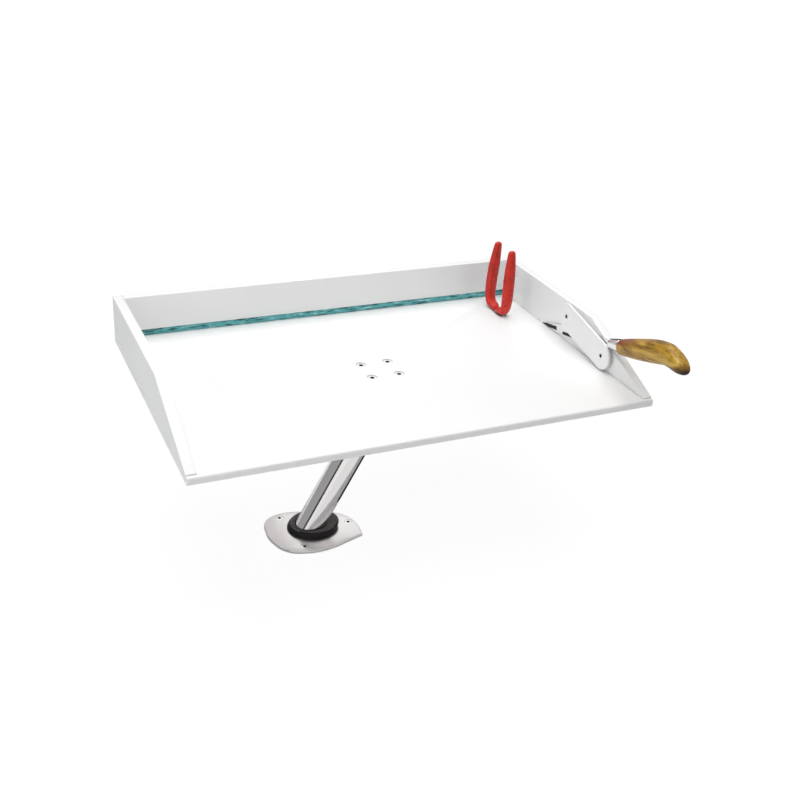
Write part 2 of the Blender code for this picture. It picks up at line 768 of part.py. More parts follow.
def slant_bore(radius, low, high, group, item, name):
    """Cuts a round bore along the post's axis between two lengths on it."""
    return cut(item, name, cylinder(radius, low, high, steps=FINE), group)


def build_holder(group):
    """Flush holder: flange, slanting barrel, liner with its ring, cross pin, cap and screws."""
    outline = flange_outline()
    rim = FLANGE_RIM
    rings = []
    for depth, level in ((0.0, 0.0), (0.0, rim), (rim * 0.35, FLANGE_THICK * 0.8), (rim * 1.3, FLANGE_THICK)):
        rings.append([Vector((x, y, level)) for x, y in inset(outline, depth)])
    flange = piece("holder_flange", skin(rings), stainless(), smooth=40)
    boss_length = 2 * (BARREL_OUTER / math.cos(POST_LEAN) + BOSS_WALL)
    boss_width = 2 * (BARREL_OUTER + BOSS_WALL)
    shift = BOSS_HEIGHT * math.tan(POST_LEAN) / 2
    boss = [oval(boss_length, boss_width, level) for level in (-BOSS_HEIGHT, rim)]
    for ring, level in zip(boss, (-BOSS_HEIGHT, rim)):
        for point in ring:
            point.x -= level * math.tan(POST_LEAN) + shift
    join(flange, "boss", skin(boss))
    slant_bore(BARREL_OUTER + SEAT, -RING_LENGTH, RING_LENGTH, group, flange, "bore")

    ring = [(BARREL_BORE, -BARREL_DEPTH), (BARREL_OUTER, -BARREL_DEPTH)]
    ring += [(BARREL_OUTER, TRIM), (BARREL_BORE, TRIM)]
    barrel = piece("holder_barrel", turned(ring, hollow=True), stainless(), group, smooth=35)
    lid = [(-SPAN, -SPAN), (SPAN, -SPAN), (SPAN, SPAN), (-SPAN, SPAN)]
    cut(barrel, "top", prism(lid, FLANGE_THICK, SPAN))
    hole = cylinder(CROSS_PIN_R + SEAT, -2 * BARREL_OUTER, 2 * BARREL_OUTER, "Y", SMALL, (0.0, -PIN_DEPTH))
    cut(barrel, "pin_holes", hole, group)
    bm = cylinder(CROSS_PIN_R, -BARREL_OUTER, BARREL_OUTER, "Y", SMALL, (0.0, -PIN_DEPTH))
    piece("gimbal_pin", bm, stainless(), group, smooth=35)

    liner_bottom = -PIN_DEPTH + CROSS_PIN_R + PIN_PLAY + GIMBAL_SKIRT
    sleeve = cylinder(LINER_OUTER, liner_bottom, TRIM * 0.4, steps=FINE)
    liner = piece("holder_liner", sleeve, black_rubber(), group, smooth=35)
    foot = FLANGE_THICK + SEAT
    crown = foot + RING_HEIGHT
    bulge = RING_HEIGHT * 0.22
    mouth = 2 * (LINER_BORE / math.cos(POST_LEAN) + RING_FLARE)
    mouth_width = 2 * (LINER_BORE + RING_FLARE)
    aside = RING_OFFSET
    collar = [
        oval(RING_LENGTH - bulge, RING_WIDTH - bulge, foot, aside),
        oval(RING_LENGTH, RING_WIDTH, foot + RING_HEIGHT * 0.35, aside),
        oval(RING_LENGTH - bulge, RING_WIDTH - bulge, foot + RING_HEIGHT * 0.78, aside),
        oval(RING_LENGTH - 3.2 * bulge, RING_WIDTH - 3.2 * bulge, crown, aside),
        oval(mouth + bulge, mouth_width + bulge, crown - RING_HEIGHT * 0.05),
    ]
    join(liner, "collar", skin(collar))
    cut(liner, "above", prism(lid, crown + SEAT, SPAN))
    narrow = 2 * RING_FLARE + 4 * SEAT
    funnel = [oval(mouth - narrow, mouth_width - narrow, foot + RING_HEIGHT * 0.2)]
    funnel.append(oval(mouth, mouth_width, crown + 4 * SEAT))
    cut(liner, "mouth", skin(funnel))
    slant_bore(LINER_BORE, liner_bottom - SEAT, TRIM, group, liner, "bore")

    cap_bore = BARREL_OUTER + SEAT
    cap_outer = cap_bore + CAP_WALL
    inner_floor = -BARREL_DEPTH - SEAT
    floor = inner_floor - CAP_FLOOR
    spout = DRAIN_R + CAP_WALL
    ring = [
        (cap_bore, inner_floor + CAP_LAP),
        (cap_outer, inner_floor + CAP_LAP),
        (cap_outer, floor + BREAK),
        (cap_outer - BREAK, floor),
        (spout, floor),
        (spout * 0.88, floor - DRAIN_SPOUT),
        (DRAIN_R, floor - DRAIN_SPOUT),
        (DRAIN_R, inner_floor),
        (cap_bore, inner_floor),
    ]
    piece("holder_cap", turned(ring, steps=MEDIUM, hollow=True), black_rubber(), group, smooth=35)

    places = [(x * FLANGE_REACH, y * FLANGE_REACH) for x, y in DECK_SCREW_SHARES]
    for i, (x, y) in enumerate(places, 1):
        hole = [
            (DECK_SCREW_R + SEAT, -PAST),
            (DECK_SCREW_R + SEAT, FLANGE_THICK - DECK_SCREW_HEAD - SEAT),
            (DECK_SCREW_HEAD_R + SEAT, FLANGE_THICK - DECK_SCREW_HEAD * HEAD_RIM - SEAT),
            (DECK_SCREW_HEAD_R + SEAT, FLANGE_THICK + PAST),
        ]
        cut(flange, f"hole_{i}", turned(hole, steps=SMALL, centre=(x, y)))
        head = DECK_SCREW_HEAD
        profile = countersunk_profile(DECK_SCREW_R, DECK_SCREW_HEAD_R, head, DECK_SCREW_LENGTH)
        bm = turned(carried(profile, FLANGE_THICK - SEAT), steps=SMALL, centre=(x, y))
        piece(f"deck_screw_{i}", bm, stainless(), smooth=35)


def guard_screw_places():
    """Names and (Y, Z) centres of the guard's two screws."""
    places = (("guard_rear", GUARD_REAR), ("guard_front", GUARD_FRONT))
    return [(name, (FRONT + y, BOARD_TOP + z)) for name, (y, z) in places]


def build_guard(group):
    """Guard plate with round ends, stood off the right wall by two spacers and screws."""
    rear, front = (Vector(spot) for _, spot in guard_screw_places())
    angle = math.degrees(math.atan2(rear.y - front.y, rear.x - front.x))
    outline = arc(rear, GUARD_R, angle - 90, angle + 90, 12)
    outline += arc(front, GUARD_R, angle + 90, angle + 270, 12)
    face = RIGHT_FACE - GUARD_GAP
    outer = face - GUARD_THICK
    bm = soften(prism(outline, outer, face, "X"), EDGE_ROUND * 0.5)
    plate = piece("knife_guard", bm, white_board(), group, smooth=30)
    below = [(FRONT, UNDERSIDE), (BACK, UNDERSIDE), (BACK, BOARD_TOP + SEAT), (FRONT, BOARD_TOP + SEAT)]
    cut(plate, "foot", prism(below, outer - 0.01, face + 0.01, "X"), group)
    for name, spot in guard_screw_places():
        hole = [
            (GUARD_SCREW_HEAD_R + SEAT, outer - PAST),
            (GUARD_SCREW_HEAD_R + SEAT, outer + GUARD_SCREW_HEAD * HEAD_RIM),
            (GUARD_SCREW_R + SEAT, outer + GUARD_SCREW_HEAD + SEAT),
            (GUARD_SCREW_R + SEAT, face + PAST),
        ]
        cut(plate, name, turned(hole, "X", SMALL, spot), group)
        bore = GUARD_SCREW_R + SEAT
        low, high = face + SEAT, RIGHT_FACE - SEAT
        ring = [(bore, low), (SPACER_R, low), (SPACER_R, high), (bore, high)]
        bm = turned(ring, "X", MEDIUM, spot, hollow=True)
        piece(name + "_spacer", bm, white_board(), group, smooth=35)
        length = GUARD_THICK + GUARD_GAP + GUARD_SCREW_BITE
        profile = countersunk_profile(GUARD_SCREW_R, GUARD_SCREW_HEAD_R, GUARD_SCREW_HEAD, length)
        bm = turned(carried(profile, outer, -1.0), "X", SMALL, spot)
        piece(name + "_screw", bm, stainless(), group, smooth=35)


def blade_edge():
    """Lower edge of the blade: straight and level, then swept up to the tip."""
    low = -BLADE_HEIGHT / 2
    straight = BLADE_LENGTH * 0.56
    sweep = BLADE_LENGTH - straight
    points = [(0.0, low), (straight * 0.5, low), (straight, low)]
    for i in range(1, 8):
        t = i / 7
        points.append((straight + sweep * t, low + BLADE_TIP_RISE * t ** 2.2))
    return points


def knife_origin():
    """Where the knife's frame rests: edge on the front spacer, stopped by board, wall or guard."""
    along = Vector((0.0, math.cos(KNIFE_SLOPE), -math.sin(KNIFE_SLOPE)))
    up = Vector((0.0, math.sin(KNIFE_SLOPE), math.cos(KNIFE_SLOPE)))
    y, z = guard_screw_places()[1][1]
    support = Vector((BLADE_X, y, z))
    base = support + up * (SPACER_R + SEAT + BLADE_HEIGHT / 2)
    lowest = min((along * u + up * v).z for u, v in blade_edge())
    to_board = (base.z + lowest - (BOARD_TOP + SEAT)) / math.sin(KNIFE_SLOPE)
    foot = Vector((0.0, FRONT + WALL_TOE_SETBACK, WALL_FOOT + WALL_TOE_HEIGHT))
    crest = Vector((0.0, BEND, WALL_TOP))
    slope = (crest - foot).normalized()
    square = Vector((0.0, -slope.z, slope.y))
    across = RIGHT_FACE - BLADE_X
    spare = []
    for distance, rise, wide, tall in ferrule_sections():
        underside = rise - tall * math.sqrt(max(1.0 - (across / wide) ** 2, 0.0))
        point = base - along * distance + up * underside
        spare.append((point - foot).dot(square) - FERRULE_CLEARANCE)
    to_wall = min(spare) / -along.dot(square)
    to_guard = to_board
    for distance, rise, wide, tall in ferrule_sections():
        underside = rise - tall * math.sqrt(max(1.0 - (across / wide) ** 2, 0.0))
        offset = base - along * distance + up * underside - support
        inward = offset.dot(along)
        reach = inward ** 2 - offset.length_squared + (GUARD_R + FERRULE_CLEARANCE) ** 2
        if reach > 0.0:
            to_guard = min(to_guard, -inward - math.sqrt(reach))
    return base + along * min(to_board, to_wall, to_guard)


def ferrule_sections():
    """Ferrule from blade to grip: distance behind the heel, height, half width, half height."""
    sections = []
    for t in (0.0, 0.12, 0.5, 0.88, 1.0):
        grow = t ** 0.8
        swell = 0.92 if t in (0.0, 1.0) else 1.0
        wide = (FERRULE_FRONT[0] + (FERRULE_BACK[0] - FERRULE_FRONT[0]) * grow) * swell
        tall = (FERRULE_FRONT[1] + (FERRULE_BACK[1] - FERRULE_FRONT[1]) * grow) * swell
        distance = RICASSO + SEAT + FERRULE_LENGTH * t
        sections.append((distance, FERRULE_RISE + FERRULE_CLIMB * t, wide, tall))
    return sections


def blade_height_at(u):
    """Spine height above the knife's axis at a distance from the heel."""
    t = max(u, 0.0) / BLADE_LENGTH
    tip = -BLADE_HEIGHT / 2 + BLADE_TIP_RISE + BLADE_EDGE * 2
    return BLADE_HEIGHT / 2 + (tip - BLADE_HEIGHT / 2) * t ** 2.4


def build_knife(group):
    """Filleting knife in the guard: ground blade with a tang, ferrule and grip."""
    rings = []
    half = BLADE_THICK / 2
    thin = BLADE_EDGE / 2
    stations = [(-RICASSO, -TANG_HEIGHT * 0.9), (-RICASSO * 0.5, -BLADE_HEIGHT * 0.46)] + blade_edge()
    for u, low in stations:
        high = blade_height_at(u)
        if u < 0:
            high = BLADE_HEIGHT / 2 + u / RICASSO * (BLADE_HEIGHT / 2 - TANG_HEIGHT * 0.9)
        middle = low + (high - low) * 0.55
        taper = 1.0 - 0.6 * max(u, 0.0) / BLADE_LENGTH
        wide = half * taper
        ring = [(-wide, high), (wide, high), (wide * 0.9, middle)]
        ring += [(thin, low), (-thin, low), (-wide * 0.9, middle)]
        rings.append([Vector((x, u, z)) for x, z in ring])
    blade = piece("knife_blade", skin(rings), stainless(), group)
    tang_z = FERRULE_RISE
    low, high = tang_z - TANG_HEIGHT / 2, tang_z + TANG_HEIGHT / 2
    tang_end = -RICASSO - TANG_LENGTH
    tang = [(-RICASSO + PAST, low), (-RICASSO + PAST, high), (tang_end, high), (tang_end, low)]
    join(blade, "tang", prism(tang, -half * 0.8, half * 0.8, "X"), group)

    end = -RICASSO - SEAT - FERRULE_LENGTH
    rings = [grip_ring(-distance, *section, 0.0) for distance, *section in ferrule_sections()]
    ferrule = piece("knife_ferrule", skin(rings), stainless(), group, smooth=40)
    sleeve = half * 0.8 + SEAT
    foot, crown = low - SEAT, high + SEAT
    slot = [(0.0, foot), (0.0, crown), (tang_end - SEAT, crown), (tang_end - SEAT, foot)]
    cut(ferrule, "tang_slot", prism(slot, -sleeve, sleeve, "X"), group)

    handle = piece("knife_handle", skin(handle_rings(end - SEAT)), horn_handle(), group, smooth=60)
    cut(handle, "tang_slot", prism(slot, -sleeve, sleeve, "X"), group)


def grip_ring(y, z, wide, tall, turn, steps=14):
    """One oval section of the grip, turned about X so that it stays square to the grip."""
    ring = []
    for i in range(steps):
        angle = 2 * math.pi * i / steps
        across = tall * math.sin(angle)
        x = wide * math.cos(angle)
        ring.append(Vector((x, y - across * math.sin(turn), z + across * math.cos(turn))))
    return ring


def handle_rings(start):
    """Sections of the grip: slim at the ferrule, a full palm, and a butt that droops."""
    # shares of the grip's length, again its length, its half width, its half height; degrees
    stations = (
        (0.000, 0.030, 0.677, 0.540, 0.0),
        (0.028, 0.032, 0.742, 0.610, -3.0),
        (0.148, 0.049, 0.871, 0.705, -7.0),
        (0.296, 0.067, 0.968, 0.790, -7.0),
        (0.444, 0.087, 1.000, 0.845, -6.0),
        (0.584, 0.103, 1.000, 0.865, -2.0),
        (0.668, 0.111, 0.984, 0.822, 3.0),
        (0.746, 0.112, 0.968, 0.816, 10.0),
        (0.802, 0.103, 0.968, 0.908, 18.0),
        (0.858, 0.090, 0.952, 0.957, 24.0),
        (0.915, 0.079, 0.903, 0.908, 30.0),
        (0.957, 0.070, 0.790, 0.748, 34.0),
        (0.985, 0.063, 0.581, 0.528, 36.0),
        (1.000, 0.059, 0.323, 0.282, 37.0),
    )
    rings = []
    for behind, rise, wide, tall, turn in smooth_path(stations, 2):
        place = (start - behind * GRIP_LENGTH, rise * GRIP_LENGTH)
        size = (wide * GRIP_HALF_WIDTH, tall * GRIP_HALF_HEIGHT)
        rings.append(grip_ring(*place, *size, -math.radians(turn)))
    return rings


def plier_place():
    """Centre of the pliers on the board."""
    return (RIGHT - PLIER_FROM_RIGHT, BACK - PLIER_FROM_BACK)


def handle_path(per_span=2):
    """Centre line of one plier handle from the joint: (across, up), bowed out and back in."""
    # shares of the handle's bow and of its length
    shares = (
        (0.131, 0.041),
        (0.155, 0.104),
        (0.270, 0.145),
        (0.500, 0.165),
        (0.738, 0.194),
        (0.913, 0.250),
        (0.992, 0.345),
        (0.988, 0.472),
        (0.909, 0.727),
        (0.802, 1.000),
    )
    points = [(across * HANDLE_BOW, up * HANDLE_LENGTH) for across, up in shares]
    return smooth_path(points, per_span)


def path_normals(path):
    """Normals of a flat path, to the outside of the bow."""
    normals = []
    for i in range(len(path)):
        ahead = path[min(i + 1, len(path) - 1)]
        behind = path[max(i - 1, 0)]
        along = (ahead - behind).normalized()
        normals.append(Vector((along.y, -along.x)))
    return normals


def sleeve_shares(path):
    """Share of its full size that a sleeve has at each point: it tapers towards the tip."""
    shares = []
    for i in range(len(path)):
        left = sum((b - a).length for a, b in zip(path[i:], path[i + 1:]))
        shares.append(1.0 - (1.0 - SLEEVE_TIP) * max(1.0 - left / SLEEVE_TAPER, 0.0))
    return shares


def plier_pivot_height():
    """Pivot level at which the undersides of the two sleeves rest on the board."""
    path = handle_path()
    depths = [SLEEVE_HALF_DEPTH * share for share in sleeve_shares(path)]
    sections = list(zip(path, path_normals(path), depths))[SLEEVE_START:]
    lowest = min(point.y - abs(normal.y) * depth for point, normal, depth in sections)
    return BOARD_TOP + SEAT * 1.5 - lowest


def bar_ring(point, normal, side, lap, half_x, half_n, steps):
    """Oval section of a handle; side mirrors it in Y and lap shifts it in X."""
    ring = []
    for i in range(steps):
        angle = 2 * math.pi * i / steps
        spot = point + normal * (half_n * math.sin(angle))
        ring.append(Vector((lap + half_x * math.cos(angle), side * spot.x, spot.y)))
    return ring


def build_plier_half(name, side, group):
    """One half: flat joint disc, jaw on the far side of the joint and tang on the near side."""
    half = JOINT_THICK / 2
    low, high = (-half, -LAP_GAP / 2) if side < 0 else (LAP_GAP / 2, half)
    disc = cylinder(JOINT_R, low, high, "X", MEDIUM)
    item = piece(name, disc, forged_steel(), group, smooth=30)

    face = LAP_GAP / 2
    jaw = [
        (face, -JOINT_R * 0.2),
        (face, -JAW_LENGTH),
        (face + JAW_TIP, -JAW_LENGTH),
        (face + JAW_TIP * 1.5, -JAW_LENGTH * 0.86),
        (JOINT_R * 0.80, -JAW_LENGTH * 0.50),
        (JOINT_R * 0.95, -JOINT_R * 0.95),
        (JOINT_R * 0.96, -JOINT_R * 0.2),
    ]
    lean = Matrix.Rotation(JAW_OPEN, 2)
    turned_jaw = [lean @ Vector(p) for p in jaw]
    outline = [(-side * p.x, p.y) for p in turned_jaw]
    nose = prism(outline, -half, half, "X")
    join(item, "jaw", nose, group)
    relief_r = JOINT_R + LAP_GAP
    relief_low, relief_high = (-LAP_GAP / 2, half + PAST) if side < 0 else (-half - PAST, LAP_GAP / 2)
    cut(item, "relief", cylinder(relief_r, relief_low, relief_high, "X", MEDIUM), group)

    path = handle_path()
    lap = (low + high) / 2
    slim = (high - low) / 2 * 0.9
    rings = []
    for point, normal, share in zip(path, path_normals(path), sleeve_shares(path)):
        past = point.length - JOINT_R - LAP_GAP - TANG_STAND
        clear = min(max(past / TANG_RAMP, 0.0), 1.0)
        shift = lap * (1.0 - clear)
        tang_x = (SLEEVE_HALF_WIDTH - SLEEVE_WALL) * share - SEAT
        tang_n = (SLEEVE_HALF_DEPTH - SLEEVE_WALL) * share - SEAT
        half_x = slim + (tang_x - slim) * clear
        rings.append(bar_ring(point, normal, side, shift, half_x, tang_n * 0.9, TINY))
    rings = rings[:-2]
    join(item, "tang", skin(rings), group)
    cut(item, "rivet_hole", cylinder(RIVET_R + SEAT, -half - PAST, half + PAST, "X", SMALL), group)


def build_plier_grip(name, side, group):
    """Dipped sleeve: a closed cup that follows the handle, open at the joint end."""
    path = handle_path()
    normals = path_normals(path)
    shares = sleeve_shares(path)
    inner_x = SLEEVE_HALF_WIDTH - SLEEVE_WALL
    inner_n = SLEEVE_HALF_DEPTH - SLEEVE_WALL
    inner_end = len(path) - 2
    rings = []
    for i in range(inner_end, SLEEVE_START - 1, -1):
        size = (inner_x * shares[i], inner_n * shares[i])
        rings.append(bar_ring(path[i], normals[i], side, 0.0, *size, SMALL))
    outer_x, outer_n = SLEEVE_HALF_WIDTH, SLEEVE_HALF_DEPTH
    for i in range(SLEEVE_START, len(path)):
        size = (outer_x * shares[i], outer_n * shares[i])
        rings.append(bar_ring(path[i], normals[i], side, 0.0, *size, SMALL))
    end, normal = path[-1], normals[-1]
    along = Vector((-normal.y, normal.x))
    for angle in (30.0, 55.0, 75.0):
        shrink = shares[-1] * math.cos(math.radians(angle))
        spot = end + along * (outer_n * shares[-1] * math.sin(math.radians(angle)))
        rings.append(bar_ring(spot, normal, side, 0.0, outer_x * shrink, outer_n * shrink, SMALL))
    piece(name, skin(rings), red_dip(), group, smooth=50)


def build_pliers(group, swing):
    """Both halves crossed at the rivet; the second swings on it."""
    build_plier_half("plier_half_front", -1, group)
    build_plier_half("plier_half_rear", 1, swing)
    build_plier_grip("plier_grip_front", -1, group)
    build_plier_grip("plier_grip_rear", 1, swing)
    half = JOINT_THICK / 2 + SEAT
    rivet = [
        (RIVET_R * 0.8, -half - RIVET_DOME),
        (RIVET_R * 1.6, -half),
        (RIVET_R, -half),
        (RIVET_R, half),
        (RIVET_R * 1.6, half),
        (RIVET_R * 0.8, half + RIVET_DOME),
    ]
    piece("plier_rivet", turned(rivet, "X", SMALL), stainless(), group, smooth=35)


def main():
    clear_scene()
    lean = (0.0, POST_LEAN, 0.0)
    pivot = (PIVOT_X, 0.0, PIVOT_HEIGHT)
    holder = frame("holder_axis", (0.0, 0.0, 0.0), lean)
    post = frame("post_axis", (0.0, 0.0, 0.0), lean)
    tilt = frame("tilt_axis", pivot)
    knob = frame("knob_axis", pivot)
    tray = frame("tray_group", (0.0, 0.0, 0.0))
    build_holder(holder)
    build_post(post)
    build_bracket(tilt)
    build_clamp(tilt)
    build_knob(knob)
    build_board(tray)
    build_walls(tray)
    build_wall_screws(tray)
    build_tray_screws(tray)
    build_guard(tray)
    knife = frame("knife_axis", knife_origin(), (-KNIFE_SLOPE, 0.0, 0.0))
    build_knife(knife)
    x, y = plier_place()
    spot = (x, y, plier_pivot_height())
    pliers = frame("plier_axis", spot)
    swing = frame("plier_swing_axis", spot)
    build_pliers(pliers, swing)
    bpy.context.view_layer.update()


main()
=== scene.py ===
"""Looks of the cutting table: board and walls, post and deck holder, knife, pliers and studio.

Metres, +Z up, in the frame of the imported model. Each piece is modelled at its place and rides
on the body that carries it.
"""

import json
import math

import bmesh
import bpy
from bpy.props import FloatProperty, FloatVectorProperty, IntProperty, PointerProperty
from mathutils import Matrix, Vector


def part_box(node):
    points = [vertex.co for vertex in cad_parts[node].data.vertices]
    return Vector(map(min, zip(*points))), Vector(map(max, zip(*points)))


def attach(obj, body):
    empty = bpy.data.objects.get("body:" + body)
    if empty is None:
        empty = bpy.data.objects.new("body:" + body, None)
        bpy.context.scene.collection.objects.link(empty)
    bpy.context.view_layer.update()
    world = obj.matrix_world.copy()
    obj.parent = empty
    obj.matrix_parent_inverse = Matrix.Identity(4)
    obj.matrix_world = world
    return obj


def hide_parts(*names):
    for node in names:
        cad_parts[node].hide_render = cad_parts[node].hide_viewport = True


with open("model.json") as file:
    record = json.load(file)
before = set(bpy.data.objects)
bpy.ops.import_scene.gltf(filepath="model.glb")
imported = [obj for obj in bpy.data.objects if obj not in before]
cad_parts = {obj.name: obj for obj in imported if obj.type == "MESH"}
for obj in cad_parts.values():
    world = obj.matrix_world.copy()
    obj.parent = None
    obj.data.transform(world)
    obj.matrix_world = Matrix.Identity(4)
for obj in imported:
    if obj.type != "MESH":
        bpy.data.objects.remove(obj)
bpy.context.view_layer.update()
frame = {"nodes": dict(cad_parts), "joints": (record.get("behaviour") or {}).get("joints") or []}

bl_info = {
    "name": "Cutting table",
    "version": (1, 0, 0),
    "blender": (4, 5, 0),
    "location": "View3D > Sidebar > Cutting table",
    "description": "Models a cutting table with its post, deck holder, knife and pliers",
    "category": "Add Mesh",
}


def joint(name):
    """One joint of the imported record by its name."""
    return next(entry for entry in frame["joints"] if entry["name"] == name)


def centre(node):
    """Middle of a node's box."""
    low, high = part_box(node)
    return (low + high) / 2


def numbered(stem, count):
    """Names with numbers from 1."""
    return [f"{stem}_{i + 1}" for i in range(count)]


POST_AXIS = Vector(joint("post_lift")["axis"])
LEAN = math.atan2(POST_AXIS.x, POST_AXIS.z)
PIVOT = Vector(joint("head_tilt")["pos_m"])
PLIER_PIVOT = Vector(joint("plier_squeeze")["pos_m"])
KNIFE_AXIS = -Vector(joint("knife_draw")["axis"])
KNIFE_SLOPE = math.atan2(-KNIFE_AXIS.z, KNIFE_AXIS.y)
BOARD_LOW, BOARD_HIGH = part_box("cutting_board")
TRAY_SCREWS = numbered("tray_screw", 4)
BACK_SCREWS = numbered("back_wall_screw", 4)
LEFT_SCREWS = numbered("left_wall_screw", 3)
RIGHT_SCREWS = numbered("right_wall_screw", 3)
GUARD_SCREWS = ["guard_front_screw", "guard_rear_screw"]
DECK_SCREWS = numbered("deck_screw", 3)

# Sizes that several pieces share, in metres
SLIP = 0.0003  # space between pieces that rest on each other
POST_SLIP = 0.0006  # space around the post in its liner
PIN_LEVEL = -0.2000  # the cross pin, along the post's axis
PIN_GROOVE = 0.0044  # half the width of the groove that sits on the cross pin
END_RIM = 0.0180  # length of the slotted end's outer rim
BARREL_DEPTH = 0.2250  # the barrel below the deck, along its axis
PAN_HEAD = 0.0026  # height of a wall screw's head
GRIP_LIFT = 1.084  # the grip's rise and droop against its length
TANG_LEVEL = 0.0036  # middle of the tang over the knife's axis
TANG_SLOT = ((-0.00094, 0.0003), (0.00094, 0.0069))  # the slot around the tang, across and up
LAMP_TARGET = (0.10, 0.0, 0.25)  # where the lamps point


def length(name, description, default):
    """A length that a user may change."""
    return FloatProperty(name=name, description=description, default=default, min=0.0, unit="LENGTH")


def colour(name, description, default):
    """A colour that a user may change."""
    return FloatVectorProperty(
        name=name, description=description, default=default, min=0.0, max=1.0, size=3, subtype="COLOR"
    )


class TraySizes(bpy.types.PropertyGroup):
    """Sizes of the board, the walls and the knife guard"""

    edge: length("Board edge", "Rounding of the board's edges", 0.0012)
    wall_edge: length("Wall edge", "Rounding of the walls' edges", 0.0008)
    slope_run: length("Slope", "Length of a side wall's sloping top", 0.1417)
    toe_height: length("Toe", "Height of a side wall at its front end", 0.0014)
    guard_radius: length("Guard radius", "Radius of the guard plate's two ends", 0.0188)
    tray_shank: length("Tray screw", "Radius of a tray screw's shank", 0.0031)
    wall_shank: length("Wall screw", "Radius of a wall screw's shank", 0.0020)
    guard_shank: length("Guard screw", "Radius of a guard screw's shank", 0.0020)
    slot_width: length("Plier slot width", "Width of the slot that holds the pliers", 0.0140)
    slot_length: length("Plier slot length", "Length of the slot that holds the pliers", 0.0340)
    clearance: length("Clearance", "Space between pieces that rest on each other", SLIP)


class ClampSizes(bpy.types.PropertyGroup):
    """Sizes of the tilting head and its clamp"""

    bolt: length("Bolt", "Radius of the pivot bolt", 0.0050)
    bolt_head: length("Bolt head", "Thickness of the bolt's hexagon head", 0.0064)
    flute_depth: length("Flute", "Depth of a flute between two lobes of the knob", 0.0044)
    lobes: IntProperty(name="Lobes", description="Lobes on the clamp knob", default=5, min=3, max=9)
    tongue: length("Tongue", "Radius of the head's tongue", 0.0170)
    tongue_width: length("Tongue width", "Thickness of the head's tongue", 0.0160)


class HolderSizes(bpy.types.PropertyGroup):
    """Sizes of the post and the deck holder"""

    post: length("Post", "Outer radius of the post", 0.01905)
    post_wall: length("Post wall", "Wall of the post tube", 0.0016)
    plate: length("Flange", "Thickness of the deck flange", 0.0040)
    plate_reach: length("Flange reach", "From the post's axis to the flange's pointed corner", 0.0694)
    collar_height: length("Collar", "Height of the rubber collar over the flange", 0.0088)
    collar_length: length("Collar length", "Length of the rubber collar", 0.0710)
    collar_width: length("Collar width", "Width of the rubber collar", 0.0600)
    collar_ahead: length("Collar ahead", "Collar's middle from the post's axis, along X", 0.0070)
    collar_aside: length("Collar aside", "Collar's middle from the post's axis, along Y", 0.0030)
    barrel_wall: length("Barrel wall", "Wall of the holder's barrel", 0.0018)
    liner_wall: length("Liner wall", "Wall of the rubber liner", 0.0020)
    deck_shank: length("Deck screw", "Radius of a deck screw's shank", 0.0026)


class KnifeSizes(bpy.types.PropertyGroup):
    """Sizes of the filleting knife"""

    heel: FloatVectorProperty(
        name="Heel",
        description="Middle of the blade's heel",
        default=(0.3863711, -0.0821056, 0.2714236),
        size=3,
        subtype="TRANSLATION",
        unit="LENGTH",
    )
    blade: length("Blade", "Length of the blade", 0.1550)
    blade_height: length("Blade height", "Height of the blade at its heel", 0.0165)
    blade_thickness: length("Blade thickness", "Thickness of the blade's spine", 0.0016)
    tip_rise: length("Tip", "Rise of the edge towards the tip", 0.0060)
    ricasso: length("Ricasso", "Plain length between the edge and the ferrule", 0.0145)
    ferrule: length("Ferrule", "Length of the ferrule", 0.0240)
    grip: length("Grip", "Length of the grip", 0.1310)
    grip_half_width: length("Grip half width", "Half the grip's greatest width", 0.0124)
    grip_half_height: length("Grip half height", "Half the grip's greatest height", 0.0183)


class PlierSizes(bpy.types.PropertyGroup):
    """Sizes of the pliers"""

    joint: length("Joint", "Radius of the pliers' joint", 0.0100)
    joint_thickness: length("Joint thickness", "Thickness of the pliers' joint", 0.0096)
    jaw: length("Jaw", "Length of the jaws", 0.0500)
    handle: length("Handle", "Length of the handles", 0.1120)
    bow: length("Bow", "Widest reach of a handle from the middle", 0.0252)
    sleeve_wide: length("Sleeve width", "Half the width of a dipped sleeve", 0.0090)
    sleeve_deep: length("Sleeve depth", "Half the depth of a dipped sleeve", 0.0066)
    sleeve_wall: length("Sleeve wall", "Wall of a dipped sleeve", 0.0026)
    sleeve_taper: length("Sleeve taper", "Length of a sleeve's taper towards its tip", 0.0300)
    lean_back: length("Lean back", "Shift of the lower handles towards the back wall", 0.0050)


class FinishColours(bpy.types.PropertyGroup):
    """Colours of the finishes"""

    board: colour("Board", "White plastic of the board and walls", (0.93, 0.93, 0.925))
    strip: colour("Strip", "Sea-green strip under the back wall", (0.095, 0.43, 0.45))
    steel: colour("Polished steel", "Post, flange, screws and blade", (0.80, 0.785, 0.78))
    casting: colour("Casting", "Tilting head and bracket", (0.62, 0.62, 0.63))
    rubber: colour("Rubber", "Collar, liner and cap of the holder", (0.010, 0.009, 0.009))
    moulding: colour("Moulding", "Clamp knob and friction discs", (0.026, 0.026, 0.028))
    nylon: colour("Nylon", "Slotted end of the post", (0.83, 0.81, 0.74))
    brass: colour("Brass", "Insert of the knob", (0.80, 0.60, 0.27))
    dip: colour("Red dip", "Dipped handles of the pliers", (0.70, 0.030, 0.017))
    forged: colour("Forged steel", "Jaws of the pliers", (0.20, 0.20, 0.21))
    horn: colour("Horn", "Grip of the knife", (0.46, 0.25, 0.020))


# Selection and edit mode


def deselect():
    """Leaves edit mode and deselects every object."""
    if bpy.context.object is not None and bpy.context.object.mode != "OBJECT":
        bpy.ops.object.mode_set(mode="OBJECT")
    bpy.ops.object.select_all(action="DESELECT")


def take(piece):
    """Makes one piece the only selected and active one."""
    deselect()
    bpy.context.view_layer.objects.active = piece
    piece.select_set(True)


